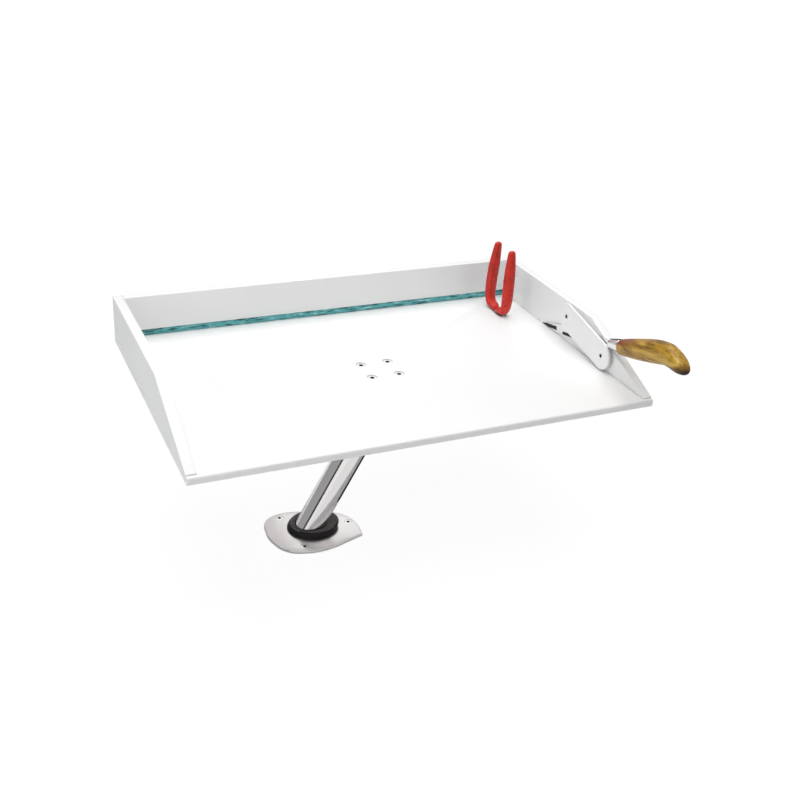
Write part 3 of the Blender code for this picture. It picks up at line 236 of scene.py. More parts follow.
def edit(piece, kind="VERT"):
    """Goes into edit mode on one piece with nothing selected."""
    take(piece)
    bpy.ops.object.mode_set(mode="EDIT")
    bpy.ops.mesh.select_mode(type=kind)
    bpy.ops.mesh.select_all(action="DESELECT")


def leave():
    """Back to object mode."""
    bpy.ops.object.mode_set(mode="OBJECT")


def choose(piece, kind, wanted):
    """Selects the vertices, edges or faces for which wanted says yes."""
    mesh = bmesh.from_edit_mesh(piece.data)
    items = {"VERT": mesh.verts, "EDGE": mesh.edges, "FACE": mesh.faces}[kind]
    for item in items:
        if wanted(item):
            item.select_set(True)
    mesh.select_flush_mode()
    bmesh.update_edit_mesh(piece.data)


def named(name):
    """Names the active object and its mesh, and settles its place into its mesh."""
    piece = bpy.context.object
    bpy.ops.object.transform_apply(location=True, rotation=True, scale=True)
    piece.name = name
    piece.data.name = name
    return piece


def settle(piece, location=(0.0, 0.0, 0.0), rotation=(0.0, 0.0, 0.0)):
    """Turns and moves a piece, and settles that into its mesh."""
    take(piece)
    piece.rotation_euler = rotation
    piece.location = location
    bpy.ops.object.transform_apply(location=True, rotation=True, scale=True)
    return piece


def outward(piece):
    """Makes all faces of a closed piece point outwards."""
    take(piece)
    bpy.ops.object.mode_set(mode="EDIT")
    bpy.ops.mesh.select_all(action="SELECT")
    bpy.ops.mesh.normals_make_consistent(inside=False)
    leave()
    return piece


# Starting forms


def block(name, low, high):
    """A box between two corners."""
    low, high = Vector(low), Vector(high)
    deselect()
    bpy.ops.mesh.primitive_cube_add(size=1.0, location=(low + high) / 2, scale=high - low)
    return named(name)


def pull(shift, scale=(1.0, 1.0, 1.0), middle=(0.0, 0.0, 0.0), turn=0.0, lean=0.0):
    """Extrudes what is selected, turns the new end about X and resizes it square to its lean."""
    bpy.ops.mesh.extrude_region_move(TRANSFORM_OT_translate={"value": shift})
    if turn:
        bpy.ops.transform.rotate(value=-turn, orient_axis="X", center_override=middle)
    if lean:
        bpy.ops.transform.rotate(value=lean, orient_axis="X", center_override=middle)
    bpy.ops.transform.resize(value=scale, center_override=middle)
    if lean:
        bpy.ops.transform.rotate(value=-lean, orient_axis="X", center_override=middle)


def close_through(piece, sides):
    """Takes off both end caps of a tube-like form and joins its two rims."""
    bpy.ops.mesh.select_mode(type="FACE")
    bpy.ops.mesh.select_all(action="DESELECT")
    choose(piece, "FACE", lambda face: len(face.verts) == sides)
    bpy.ops.mesh.delete(type="ONLY_FACE")
    bpy.ops.mesh.select_mode(type="EDGE")
    bpy.ops.mesh.select_all(action="DESELECT")
    choose(piece, "EDGE", lambda edge: len(edge.link_faces) == 1)
    bpy.ops.mesh.bridge_edge_loops()


def begin_pull():
    """Goes into edit mode with the whole starting disc selected."""
    bpy.ops.object.mode_set(mode="EDIT")
    bpy.ops.mesh.select_mode(type="VERT")
    bpy.ops.mesh.select_all(action="SELECT")


def turned(name, profile, sides=64, hollow=False, axis="Z"):
    """A turned form: a disc pulled along its axis from one (radius, level) to the next."""
    deselect()
    radius, level = profile[0]
    bpy.ops.mesh.primitive_circle_add(
        vertices=sides, radius=radius, fill_type="NGON", location=(0.0, 0.0, level)
    )
    piece = named(name)
    begin_pull()
    for new_radius, new_level in profile[1:]:
        scale = new_radius / radius
        pull((0.0, 0.0, new_level - level), (scale, scale, 1.0), (0.0, 0.0, new_level))
        radius, level = new_radius, new_level
    if hollow:
        close_through(piece, sides)
    leave()
    outward(piece)
    if axis == "X":
        settle(piece, rotation=(0.0, math.radians(90), 0.0))
    if axis == "Y":
        settle(piece, rotation=(math.radians(-90), 0.0, 0.0))
    return piece


def ovals(name, stations, sides=64, hollow=False):
    """A form pulled through level ovals: (middle, half length along X, half width along Y)."""
    deselect()
    middle, along, across = stations[0]
    bpy.ops.mesh.primitive_circle_add(vertices=sides, radius=1.0, fill_type="NGON", location=middle)
    bpy.ops.transform.resize(value=(along, across, 1.0))
    piece = named(name)
    begin_pull()
    for new_middle, new_along, new_across in stations[1:]:
        scale = (new_along / along, new_across / across, 1.0)
        pull(Vector(new_middle) - Vector(middle), scale, new_middle)
        middle, along, across = new_middle, new_along, new_across
    if hollow:
        close_through(piece, sides)
    leave()
    return outward(piece)


def drawn(name, stations, sides=24):
    """A form drawn along a path in the YZ plane: (y, z, half across X, half height, lean about X)."""
    deselect()
    y, z, wide, tall, lean = stations[0]
    bpy.ops.mesh.primitive_circle_add(vertices=sides, radius=1.0, fill_type="NGON")
    bpy.ops.transform.resize(value=(wide, tall, 1.0))
    piece = settle(bpy.context.object, (0.0, y, z), (lean, 0.0, 0.0))
    piece = named(name)
    begin_pull()
    for new_y, new_z, new_wide, new_tall, new_lean in stations[1:]:
        scale = (new_wide / wide, new_tall / tall, 1.0)
        pull((0.0, new_y - y, new_z - z), scale, (0.0, new_y, new_z), new_lean - lean, new_lean)
        y, z, wide, tall, lean = new_y, new_z, new_wide, new_tall, new_lean
    leave()
    return outward(piece)


def outlined(name, points, depth, axis="Z"):
    """A plate of any outline, in the two directions after its axis, pulled to its depth."""
    deselect()
    bpy.ops.mesh.primitive_circle_add(vertices=len(points), radius=1.0, fill_type="NGON")
    piece = named(name)
    for vertex, (across, up) in zip(piece.data.vertices, points):
        vertex.co = {"Z": (across, up, 0.0), "X": (0.0, across, up), "Y": (across, 0.0, up)}[axis]
    bpy.ops.object.mode_set(mode="EDIT")
    bpy.ops.mesh.select_all(action="SELECT")
    pull({"Z": (0.0, 0.0, depth), "X": (depth, 0.0, 0.0), "Y": (0.0, depth, 0.0)}[axis])
    leave()
    return outward(piece)


# Shaping


def finish_with(piece, kind, **settings):
    """Gives a piece a modifier with its settings and applies it."""
    take(piece)
    modifier = piece.modifiers.new(kind, kind)
    for key, value in settings.items():
        setattr(modifier, key, value)
    bpy.ops.object.modifier_apply(modifier=modifier.name)
    return piece


def combine(piece, other, operation="DIFFERENCE"):
    """Cuts another form out of a piece, or joins it on."""
    finish_with(piece, "BOOLEAN", operation=operation, solver="EXACT", object=other)
    take(other)
    bpy.ops.object.delete()
    return piece


def straight_hole(radius, low, high):
    """Profile of a straight round hole between two levels."""
    return [(radius, low), (radius, high)]


def ring_profile(hole, rim, thick, edge):
    """Profile of a flat ring with broken outer edges."""
    lower = [(hole, 0.0), (rim - edge, 0.0), (rim, edge)]
    return lower + [(rim, thick - edge), (rim - edge, thick), (hole, thick)]


def drill(piece, profile, places, axis="Z", sides=48):
    """Cuts the same turned hole at each place."""
    for place in places:
        combine(piece, settle(turned("drill", profile, sides, axis=axis), place))
    return piece


def round_edges(piece, width, steps=2, angle=30.0):
    """Rounds the edges that are sharper than an angle."""
    form = {"width": width, "segments": steps, "limit_method": "ANGLE"}
    return finish_with(piece, "BEVEL", angle_limit=math.radians(angle), **form)


def subdivide(piece, levels=2):
    """Rounds a cage by subdivision."""
    return finish_with(piece, "SUBSURF", levels=levels, render_levels=levels)


def span_of(edge):
    """How far an edge reaches along each axis."""
    first, second = edge.verts
    return Vector([abs(a - b) for a, b in zip(first.co, second.co)])


def bevel_chosen(piece, wanted, width, steps):
    """Bevels the edges for which wanted says yes."""
    edit(piece, "EDGE")
    choose(piece, "EDGE", wanted)
    bpy.ops.mesh.bevel(offset=width, segments=steps)
    leave()


def slice_off(piece, point, normal):
    """Cuts away what lies on the side of a plane to which its normal points."""
    edit(piece)
    bpy.ops.mesh.select_all(action="SELECT")
    bpy.ops.mesh.bisect(plane_co=point, plane_no=normal, use_fill=True, clear_outer=True)
    leave()
    return piece


def copy_of(piece, name, shift):
    """A copy with its own mesh, moved by a shift."""
    take(piece)
    bpy.ops.object.duplicate(linked=False)
    bpy.ops.transform.translate(value=shift)
    return named(name)


def from_frame(name, node):
    """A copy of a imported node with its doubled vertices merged."""
    take(frame["nodes"][node])
    bpy.ops.object.duplicate(linked=False)
    piece = bpy.context.object
    piece.parent = None
    for key in list(piece.keys()):
        del piece[key]
    piece = named(name)
    edit(piece)
    bpy.ops.mesh.select_all(action="SELECT")
    bpy.ops.mesh.remove_doubles(threshold=0.00001)
    bpy.ops.mesh.dissolve_limited(angle_limit=math.radians(0.5))
    leave()
    return piece


def dress(piece, body, slot, nodes=(), angle=35.0):
    """Shades a finished piece, gives it its material, ties it to its body and hides the nodes that it
    replaces.
    """
    take(piece)
    bpy.ops.object.shade_smooth_by_angle(angle=math.radians(angle))
    piece.data.materials.clear()
    piece.data.materials.append(bpy.data.materials[slot])
    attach(piece, body)
    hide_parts(*nodes)


# Materials


def node(tree, kind, inputs=None, **settings):
    """Adds a node with its settings and input values."""
    item = tree.nodes.new(kind)
    for name, value in settings.items():
        setattr(item, name, value)
    for name, value in (inputs or {}).items():
        item.inputs[name].default_value = value
    return item


def ramp(tree, source, stops):
    """A colour ramp fed by a value; stops are (position, grey or colour)."""
    item = tree.nodes.new("ShaderNodeValToRGB")
    elements = item.color_ramp.elements
    while len(elements) < len(stops):
        elements.new(0.5)
    for element, (position, value) in zip(elements, stops):
        element.position = position
        element.color = (*value, 1.0) if hasattr(value, "__len__") else (value, value, value, 1.0)
    tree.links.new(source, item.inputs["Fac"])
    return item.outputs["Color"]


def object_space(tree, scale=(1.0, 1.0, 1.0), place=(0.0, 0.0, 0.0), turn=(0.0, 0.0, 0.0)):
    """Object coordinates, turned and shifted, then stretched."""
    source = tree.nodes.new("ShaderNodeTexCoord")
    turned_by = node(tree, "ShaderNodeMapping", {"Location": place, "Rotation": turn})
    stretched = node(tree, "ShaderNodeMapping", {"Scale": scale})
    tree.links.new(source.outputs["Object"], turned_by.inputs["Vector"])
    tree.links.new(turned_by.outputs["Vector"], stretched.inputs["Vector"])
    return stretched.outputs["Vector"]


def paint_shade_and_reflection(tree, colour_socket, amount=0.02):
    """Paints shade and dark reflections: darkens a colour where the mesh carries the mark of faces
    with painted shade or a painted reflection.
    """
    mask = node(tree, "ShaderNodeAttribute", attribute_name="shaded")
    return blend(tree, mask.outputs["Fac"], colour_socket, (amount, amount, amount))


def mark(piece, name, wanted):
    """Marks the faces that a finish shows in another way: painted shade in a recess, a painted dark
    reflection, a painted highlight or satin steel.
    """
    marks = piece.data.attributes.new(name, "FLOAT", "FACE")
    for face in piece.data.polygons:
        marks.data[face.index].value = 1.0 if wanted(face) else 0.0


def grain_group():
    """Shared group: fine grain and broad patches from a place on the surface."""
    group = bpy.data.node_groups.new("surface grain", "ShaderNodeTree")
    for name, way, kind in (
        ("Vector", "INPUT", "Vector"),
        ("Fine Scale", "INPUT", "Float"),
        ("Patch Scale", "INPUT", "Float"),
        ("Height", "OUTPUT", "Float"),
        ("Patches", "OUTPUT", "Float"),
    ):
        group.interface.new_socket(name, in_out=way, socket_type=f"NodeSocket{kind}")
    entry = group.nodes.new("NodeGroupInput")
    leaving = group.nodes.new("NodeGroupOutput")
    fine = node(group, "ShaderNodeTexNoise", {"Detail": 4.0, "Roughness": 0.6})
    patch = node(group, "ShaderNodeTexNoise", {"Detail": 2.0, "Roughness": 0.5})
    spread = node(group, "ShaderNodeMapRange", {"From Min": 0.3, "From Max": 0.7})
    links = group.links
    links.new(entry.outputs["Vector"], fine.inputs["Vector"])
    links.new(entry.outputs["Fine Scale"], fine.inputs["Scale"])
    links.new(entry.outputs["Vector"], patch.inputs["Vector"])
    links.new(entry.outputs["Patch Scale"], patch.inputs["Scale"])
    links.new(patch.outputs["Fac"], spread.inputs["Value"])
    links.new(fine.outputs["Fac"], leaving.inputs["Height"])
    links.new(spread.outputs["Result"], leaving.inputs["Patches"])


def use_grain(tree, vector, fine, patch):
    """Places the shared grain group."""
    item = node(tree, "ShaderNodeGroup", node_tree=bpy.data.node_groups["surface grain"])
    item.inputs["Fine Scale"].default_value = fine
    item.inputs["Patch Scale"].default_value = patch
    tree.links.new(vector, item.inputs["Vector"])
    return item


def blend(tree, factor, first, second):
    """Mixes two colours, each a value or a socket, by a value."""
    item = node(tree, "ShaderNodeMix", data_type="RGBA")
    for place, tone in ((6, first), (7, second)):
        if hasattr(tone, "__len__"):
            item.inputs[place].default_value = (*tone, 1.0)
        else:
            tree.links.new(tone, item.inputs[place])
    tree.links.new(factor, item.inputs[0])
    return item.outputs[2]


def rescale(tree, value, low, high):
    """Maps a value from 0 to 1 to another range."""
    item = node(tree, "ShaderNodeMapRange", {"To Min": low, "To Max": high})
    tree.links.new(value, item.inputs["Value"])
    return item.outputs["Result"]


def raise_grain(tree, shader, height, distance, strength):
    """Bump from a height in the material."""
    item = node(tree, "ShaderNodeBump", {"Distance": distance, "Strength": strength})
    tree.links.new(height, item.inputs["Height"])
    tree.links.new(item.outputs["Normal"], shader.inputs["Normal"])


def material(name, metallic=0.0, roughness=0.5, **inputs):
    """A new material with a Principled shader; gives its tree and shader."""
    made = bpy.data.materials.new(name)
    made.use_nodes = True
    shader = made.node_tree.nodes["Principled BSDF"]
    shader.inputs["Metallic"].default_value = metallic
    shader.inputs["Roughness"].default_value = roughness
    for key, value in inputs.items():
        shader.inputs[key.replace("_", " ").title().replace("Ior", "IOR")].default_value = value
    return made.node_tree, shader


def tint(base, share):
    """A colour made lighter or darker by a share."""
    return tuple(min(channel * share, 1.0) for channel in base)


def grained(name, tones, scales, bump, gloss=None, space=None, **settings):
    """A finish with the shared grain: two tones in patches, patchy gloss and a fine bump."""
    tree, shader = material(name, **settings)
    grain = use_grain(tree, object_space(tree, **(space or {})), *scales)
    body = blend(tree, grain.outputs["Patches"], *tones)
    tree.links.new(body, shader.inputs["Base Color"])
    if gloss:
        tree.links.new(rescale(tree, grain.outputs["Patches"], *gloss), shader.inputs["Roughness"])
    raise_grain(tree, shader, grain.outputs["Height"], *bump)
    return tree, shader, grain, body


def make_white_board(base):
    """Sheet plastic: near white, faint mottle, fine matt grain and a few shallow cut marks."""
    tones = (tint(base, 0.988), base)
    tree, shader, _, _ = grained("white_board", tones, (900.0, 14.0), (0.00004, 0.6), roughness=0.45)
    marks = node(tree, "ShaderNodeTexNoise", {"Scale": 30.0, "Detail": 3.0})
    cuts = object_space(tree, (1.0, 26.0, 26.0), turn=(0.0, 0.0, 0.5))
    tree.links.new(cuts, marks.inputs["Vector"])
    worn = ramp(tree, marks.outputs["Fac"], ((0.62, 0.0), (0.70, 1.0)))
    tree.links.new(rescale(tree, worn, 0.42, 0.52), shader.inputs["Roughness"])


def make_strip(base):
    """Sea-green strip with pale and dark streaks along its length."""
    tree, shader = material("sea_green_strip", roughness=0.25)
    streak = node(tree, "ShaderNodeTexNoise", {"Scale": 60.0, "Detail": 5.0, "Roughness": 0.6})
    tree.links.new(object_space(tree, (1.0, 2.0, 5.0)), streak.inputs["Vector"])
    dark = tint(base, 0.30)
    pale = (0.72, 0.92, 0.93)
    stops = ((0.40, dark), (0.48, base), (0.60, base), (0.72, pale))
    body = ramp(tree, streak.outputs["Fac"], stops)
    tree.links.new(body, shader.inputs["Base Color"])
    tree.links.new(rescale(tree, streak.outputs["Fac"], 0.15, 0.40), shader.inputs["Roughness"])
    raise_grain(tree, shader, streak.outputs["Fac"], 0.0002, 0.5)


def make_steel(base):
    """Polished steel with fine polishing lines and satin on the flange, painted shade in screw
    recesses and painted dark reflections on the blade and ferrule.
    """
    tree, shader, grain, body = grained(
        "stainless",
        (tint(base, 0.96), base),
        (1400.0, 25.0),
        (0.00001, 0.35),
        space={"scale": (1.0, 1.0, 0.08), "turn": (0.0, -LEAN, 0.0)},
        metallic=1.0,
        roughness=0.12,
    )
    # Painted shade and painted dark reflections on the marked faces.
    tree.links.new(paint_shade_and_reflection(tree, body), shader.inputs["Base Color"])
    satin = node(tree, "ShaderNodeAttribute", attribute_name="satin")
    dull = node(tree, "ShaderNodeMath", operation="MULTIPLY_ADD")
    dull.inputs[1].default_value = 0.13
    tree.links.new(satin.outputs["Fac"], dull.inputs[0])
    tree.links.new(rescale(tree, grain.outputs["Patches"], 0.07, 0.14), dull.inputs[2])
    tree.links.new(dull.outputs[0], shader.inputs["Roughness"])


def make_casting(base):
    """Cast and tumbled alloy: soft grain and dull patches."""
    tones = (tint(base, 0.88), base)
    look = {"gloss": (0.34, 0.50), "metallic": 1.0, "roughness": 0.42}
    grained("cast_alloy", tones, (520.0, 45.0), (0.00012, 0.7), **look)


def make_rubber(base):
    """Black rubber with a soft bloom, and a painted highlight that makes the collar's top ridge
    paler.
    """
    tones = (base, tint(base, 1.5))
    look = {"gloss": (0.36, 0.55), "roughness": 0.45, "specular_ior_level": 0.18}
    tree, shader, _, body = grained("black_rubber", tones, (800.0, 60.0), (0.00006, 0.8), **look)
    # Painted highlight: the top ridge of the collar is coloured a paler grey.
    crest = node(tree, "ShaderNodeAttribute", attribute_name="crest")
    body = blend(tree, crest.outputs["Fac"], body, tint(base, 11.0))
    tree.links.new(body, shader.inputs["Base Color"])


def make_moulding(base):
    """Moulded black plastic with a spark-eroded grain."""
    tones = (base, tint(base, 1.4))
    tree, shader, grain, _ = grained(
        "black_plastic", tones, (1100.0, 40.0), (0.00008, 0.9), roughness=0.38
    )
    tree.links.new(rescale(tree, grain.outputs["Height"], 0.30, 0.48), shader.inputs["Roughness"])


def make_nylon(base):
    """Natural nylon, a little waxy."""
    tones = (tint(base, 0.93), base)
    grained("natural_nylon", tones, (700.0, 30.0), (0.00005, 0.6), roughness=0.40)


def make_brass(base):
    """Turned brass with fine rings and dull spots."""
    tones = (tint(base, 0.80), base)
    look = {"gloss": (0.22, 0.40), "metallic": 1.0, "roughness": 0.28}
    grained("brass", tones, (600.0, 120.0), (0.00003, 0.6), space={"scale": (1.0, 8.0, 1.0)}, **look)


def make_dip(base):
    """Dipped plastic: glossy, with a darker tone in patches and little red cast on white."""
    tones = (tint(base, 0.76), base)
    look = {"gloss": (0.24, 0.36), "roughness": 0.30, "specular_ior_level": 0.32}
    tree, shader, _, body = grained("red_dip", tones, (160.0, 70.0), (0.00006, 0.4), **look)
    path = tree.nodes.new("ShaderNodeLightPath")
    body = blend(tree, path.outputs["Is Diffuse Ray"], body, (0.16, 0.10, 0.10))
    tree.links.new(body, shader.inputs["Base Color"])


def make_forged(base):
    """Forged and blued steel with brighter worn patches."""
    tones = (base, tint(base, 2.2))
    look = {"gloss": (0.28, 0.46), "metallic": 1.0, "roughness": 0.36}
    grained("forged_steel", tones, (650.0, 90.0), (0.00007, 0.8), **look)


def span_mask(tree, value, none, full):
    """A mask that grows from 0 to 1 while a value goes from one bound to the other."""
    item = node(tree, "ShaderNodeMapRange", {"From Min": none, "From Max": full})
    tree.links.new(value, item.inputs["Value"])
    return item.outputs["Result"]


def make_horn(base):
    """Amber grip with brown grain along its length, red-brown on top by the ferrule, and painted
    shade along its underside and under the drooping butt.
    """
    tree, shader = material("horn_handle", roughness=0.30, specular_ior_level=0.30)
    turn = (KNIFE_SLOPE, 0.0, 0.0)
    along = object_space(tree, (5.0, 1.0, 5.0), turn=turn)
    fibre = node(tree, "ShaderNodeTexNoise", {"Scale": 22.0, "Detail": 6.0, "Roughness": 0.6})
    tree.links.new(along, fibre.inputs["Vector"])
    brown = (0.15, 0.055, 0.010)
    pale = (0.66, 0.44, 0.085)
    stops = ((0.34, brown), (0.45, tint(base, 0.6)), (0.54, base), (0.66, pale))
    body = ramp(tree, fibre.outputs["Fac"], stops)
    heel = Matrix.Rotation(KNIFE_SLOPE, 3, "X") @ Vector(bpy.context.scene.knife_sizes.heel)
    parts = tree.nodes.new("ShaderNodeSeparateXYZ")
    tree.links.new(object_space(tree, place=-heel, turn=turn), parts.inputs[0])
    above = node(tree, "ShaderNodeMath", operation="MULTIPLY_ADD")
    above.inputs[1].default_value = 0.1177
    tree.links.new(parts.outputs["Y"], above.inputs[0])
    tree.links.new(parts.outputs["Z"], above.inputs[2])
    # Painted shade: the underside and the butt's lower side are darkened.
    under = span_mask(tree, above.outputs[0], -0.0100, -0.0185)
    crown = span_mask(tree, above.outputs[0], 0.0010, 0.0060)
    ahead = span_mask(tree, parts.outputs["Y"], -0.0950, -0.0450)
    both = node(tree, "ShaderNodeMath", operation="MULTIPLY")
    tree.links.new(crown, both.inputs[0])
    tree.links.new(ahead, both.inputs[1])
    body = blend(tree, both.outputs[0], body, (0.20, 0.040, 0.012))
    body = blend(tree, under, body, (0.030, 0.012, 0.006))
    tree.links.new(body, shader.inputs["Base Color"])
    tree.links.new(rescale(tree, fibre.outputs["Fac"], 0.36, 0.22), shader.inputs["Roughness"])
    raise_grain(tree, shader, fibre.outputs["Fac"], 0.00025, 0.5)


FINISHES = {
    "board": make_white_board,
    "strip": make_strip,
    "steel": make_steel,
    "casting": make_casting,
    "rubber": make_rubber,
    "moulding": make_moulding,
    "nylon": make_nylon,
    "brass": make_brass,
    "dip": make_dip,
    "forged": make_forged,
    "horn": make_horn,
}


class CUTTING_TABLE_OT_finishes(bpy.types.Operator):
    """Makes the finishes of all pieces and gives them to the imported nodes"""

    bl_idname = "cutting_table.finishes"
    bl_label = "Finishes"

    def execute(self, context):
        colours = context.scene.finish_colours
        slots = {}
        for name, item in frame["nodes"].items():
            slots[name] = item.data.materials[0].name
            item.data.materials.clear()
        for packed in [m for m in bpy.data.materials if m.name in slots.values()]:
            bpy.data.materials.remove(packed)
        grain_group()
        for key, make in FINISHES.items():
            make(tuple(getattr(colours, key)))
        for name, item in frame["nodes"].items():
            item.data.materials.append(bpy.data.materials[slots[name]])
        return {"FINISHED"}


# Fasteners


def countersunk(name, screw_box, shank, socket, axis="Z"):
    """A countersunk screw that fills a node's box: rim, cone, shank and point, with its recess."""
    low, high = screw_box
    size = high - low
    total = {"Z": size.z, "X": size.x}[axis]
    head = max(size.x if axis == "Z" else size.y, size.y) / 2
    cone = (head - shank) * 0.95
    profile = [
        (shank * 0.45, -total),
        (shank * 0.92, -total + shank * 0.9),
        (shank, -total + shank * 1.3),
        (shank, -cone),
        (head * 0.985, -cone * 0.15),
        (head, -cone * 0.10),
        (head, -0.00015),
        (head - 0.0002, 0.0),
    ]
    screw = turned(name, profile, 48)
    combine(screw, turned("recess", straight_hole(socket, -cone * 0.55, 0.001), 6))
    # The walls and floor of the recess get painted shade.
    mark(
        screw,
        "shaded",
        lambda face: -cone * 0.6 < face.center.z < -0.0002 and face.center.xy.length < socket,
    )
    return screw


def cross_recess(radius, depth):
    """The form of a cross recess, from just above the head face down."""
    arm = radius * 0.28
    cross = block("recess", (-radius, -arm, -depth), (radius, arm, 0.001))
    other = block("recess_arm", (-arm, -radius, -depth), (arm, radius, 0.001))
    return combine(cross, other, "UNION")


def repeat(piece, names, body, twins, slot):
    """Dresses the first piece and copies it to the places of the other nodes."""
    made = [piece]
    for name, twin in zip(names[1:], twins[1:]):
        made.append(copy_of(piece, name, centre(twin) - centre(twins[0])))
    for item, twin in zip(made, twins):
        dress(item, body, slot, (twin,))


def upright_screws(stem, body, twins, shank, socket):
    """Countersunk screws with their heads up, one for each node."""
    low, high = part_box(twins[0])
    screw = countersunk(f"{stem}_1", (low, high), shank, socket)
    middle = centre(twins[0])
    settle(screw, (middle.x, middle.y, high.z))
    repeat(screw, numbered(stem, len(twins)), body, twins, "stainless")


class CUTTING_TABLE_OT_tray_screws(bpy.types.Operator):
    """Four countersunk screws in the middle of the board"""

    bl_idname = "cutting_table.tray_screws"
    bl_label = "Tray screws"

    def execute(self, context):
        shank = context.scene.tray_sizes.tray_shank
        upright_screws("screw_of_tray", "tray", TRAY_SCREWS, shank, 0.0031)
        return {"FINISHED"}


class CUTTING_TABLE_OT_wall_screws(bpy.types.Operator):
    """Pan-head screws from under the board into the walls"""

    bl_idname = "cutting_table.wall_screws"
    bl_label = "Wall screws"

    def execute(self, context):
        shank = context.scene.tray_sizes.wall_shank
        for group, twins in (("back", BACK_SCREWS), ("left", LEFT_SCREWS), ("right", RIGHT_SCREWS)):
            low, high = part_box(twins[0])
            head = (high.x - low.x) / 2
            profile = [
                (head * 0.55, 0.0),
                (head * 0.75, 0.0001),
                (head * 0.93, 0.0005),
                (head, 0.0012),
                (head, PAN_HEAD),
                (shank, PAN_HEAD),
                (shank, high.z - low.z - shank * 1.4),
                (shank * 0.35, high.z - low.z),
            ]
            stem = f"screw_of_{group}_wall"
            screw = turned(f"{stem}_1", profile, 40)
            combine(screw, settle(cross_recess(head * 0.52, 0.0014), rotation=(math.pi, 0.0, 0.0)))
            middle = centre(twins[0])
            settle(screw, (middle.x, middle.y, low.z))
            repeat(screw, numbered(stem, len(twins)), "tray", twins, "stainless")
        return {"FINISHED"}


class CUTTING_TABLE_OT_guard_screws(bpy.types.Operator):
    """Two countersunk screws that hold the knife guard"""

    bl_idname = "cutting_table.guard_screws"
    bl_label = "Guard screws"

    def execute(self, context):
        sizes = context.scene.tray_sizes
        low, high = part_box(GUARD_SCREWS[0])
        screw = countersunk("screw_of_guard_front", (low, high), sizes.guard_shank, 0.0028, "X")
        settle(screw, rotation=(0.0, math.radians(-90), 0.0))
        middle = centre(GUARD_SCREWS[0])
        settle(screw, (low.x, middle.y, middle.z))
        names = ["screw_of_guard_front", "screw_of_guard_rear"]
        repeat(screw, names, "tray", GUARD_SCREWS, "stainless")
        return {"FINISHED"}


class CUTTING_TABLE_OT_deck_screws(bpy.types.Operator):
    """Three countersunk screws through the flange into the deck"""

    bl_idname = "cutting_table.deck_screws"
    bl_label = "Deck screws"

    def execute(self, context):
        shank = context.scene.holder_sizes.deck_shank
        upright_screws("screw_of_flange", "rod_holder", DECK_SCREWS, shank, 0.0026)
        return {"FINISHED"}


# Board, walls and guard


def screw_seat(screw_node, shank, clearance, up):
    """Profile of the countersunk seat for a screw whose head face is at level 0."""
    low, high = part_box(screw_node)
    head = (high.y - low.y) / 2
    cone = (head - shank) * 0.95
    return [
        (shank + clearance, -0.03),
        (shank + clearance, -cone - clearance),
        (head + clearance, -cone * 0.10 - clearance),
        (head + clearance, up),
    ]


def above(twins, level):
    """Places at one level, over the middles of nodes."""
    return [(centre(twin).x, centre(twin).y, level) for twin in twins]


class CUTTING_TABLE_OT_board(bpy.types.Operator):
    """The board with its screw seats and the slot for the pliers"""

    bl_idname = "cutting_table.board"
    bl_label = "Board"

    def execute(self, context):
        sizes = context.scene.tray_sizes
        gap = sizes.clearance
        board = block("board", BOARD_LOW, BOARD_HIGH)
        front, foot = BOARD_LOW.y + 0.001, BOARD_LOW.z + 0.001
        bevel_chosen(
            board,
            lambda edge: all(v.co.y < front and v.co.z > foot for v in edge.verts),
            sizes.edge * 2.2,
            5,
        )
        round_edges(board, sizes.edge, 3)
        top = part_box(TRAY_SCREWS[0])[1].z
        seat = screw_seat(TRAY_SCREWS[0], sizes.tray_shank, gap, 0.003)
        drill(board, seat, above(TRAY_SCREWS, top))
        low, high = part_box(BACK_SCREWS[0])
        head = (high.x - low.x) / 2
        shoulder = low.z + PAN_HEAD + gap - BOARD_LOW.z
        bore = straight_hole(head + gap, -0.001, shoulder)
        bore += straight_hole(sizes.wall_shank + gap, shoulder, 0.02)
        drill(board, bore, above(BACK_SCREWS + LEFT_SCREWS + RIGHT_SCREWS, BOARD_LOW.z), sides=32)
        half = Vector((sizes.slot_width / 2, sizes.slot_length / 2, 0.0))
        spot = Vector((PLIER_PIVOT.x, PLIER_PIVOT.y, 0.0))
        under = Vector((0.0, 0.0, BOARD_LOW.z - 0.002))
        over = Vector((0.0, 0.0, BOARD_HIGH.z + 0.002))
        slot = block("slot", spot - half + under, spot + half + over)
        bevel_chosen(slot, lambda edge: span_of(edge).z > 0.005, sizes.slot_width * 0.49, 12)
        combine(board, slot)
        dress(board, "tray", "white_board", ("cutting_board",), 25.0)
        return {"FINISHED"}


class CUTTING_TABLE_OT_walls(bpy.types.Operator):
    """Back wall and the two side walls with their sloping tops"""

    bl_idname = "cutting_table.walls"
    bl_label = "Walls"

    def execute(self, context):
        sizes = context.scene.tray_sizes
        gap = sizes.clearance
        bore = straight_hole(sizes.wall_shank + gap, -0.01, 0.0155)
        for piece_name, name, twins in (
            ("wall_left", "left_wall", LEFT_SCREWS),
            ("wall_right", "right_wall", RIGHT_SCREWS),
            ("wall_back", "back_wall", BACK_SCREWS),
        ):
            low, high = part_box(name)
            wall = block(piece_name, low, high)
            if name != "back_wall":
                bend = Vector((low.x, BOARD_LOW.y + sizes.slope_run, high.z))
                toe = Vector((low.x, low.y, low.z + sizes.toe_height))
                along = bend - toe
                slice_off(wall, toe, (0.0, -along.z, along.y))
            round_edges(wall, sizes.wall_edge, 3)
            drill(wall, bore, above(twins, low.z), sides=24)
            if name == "right_wall":
                guard_bore = straight_hole(sizes.guard_shank + gap, -0.01, 0.0095)
                spots = [centre(twin) for twin in GUARD_SCREWS]
                drill(wall, guard_bore, [(low.x, spot.y, spot.z) for spot in spots], "X", 24)
            dress(wall, "tray", "white_board", (name,), 25.0)
        return {"FINISHED"}


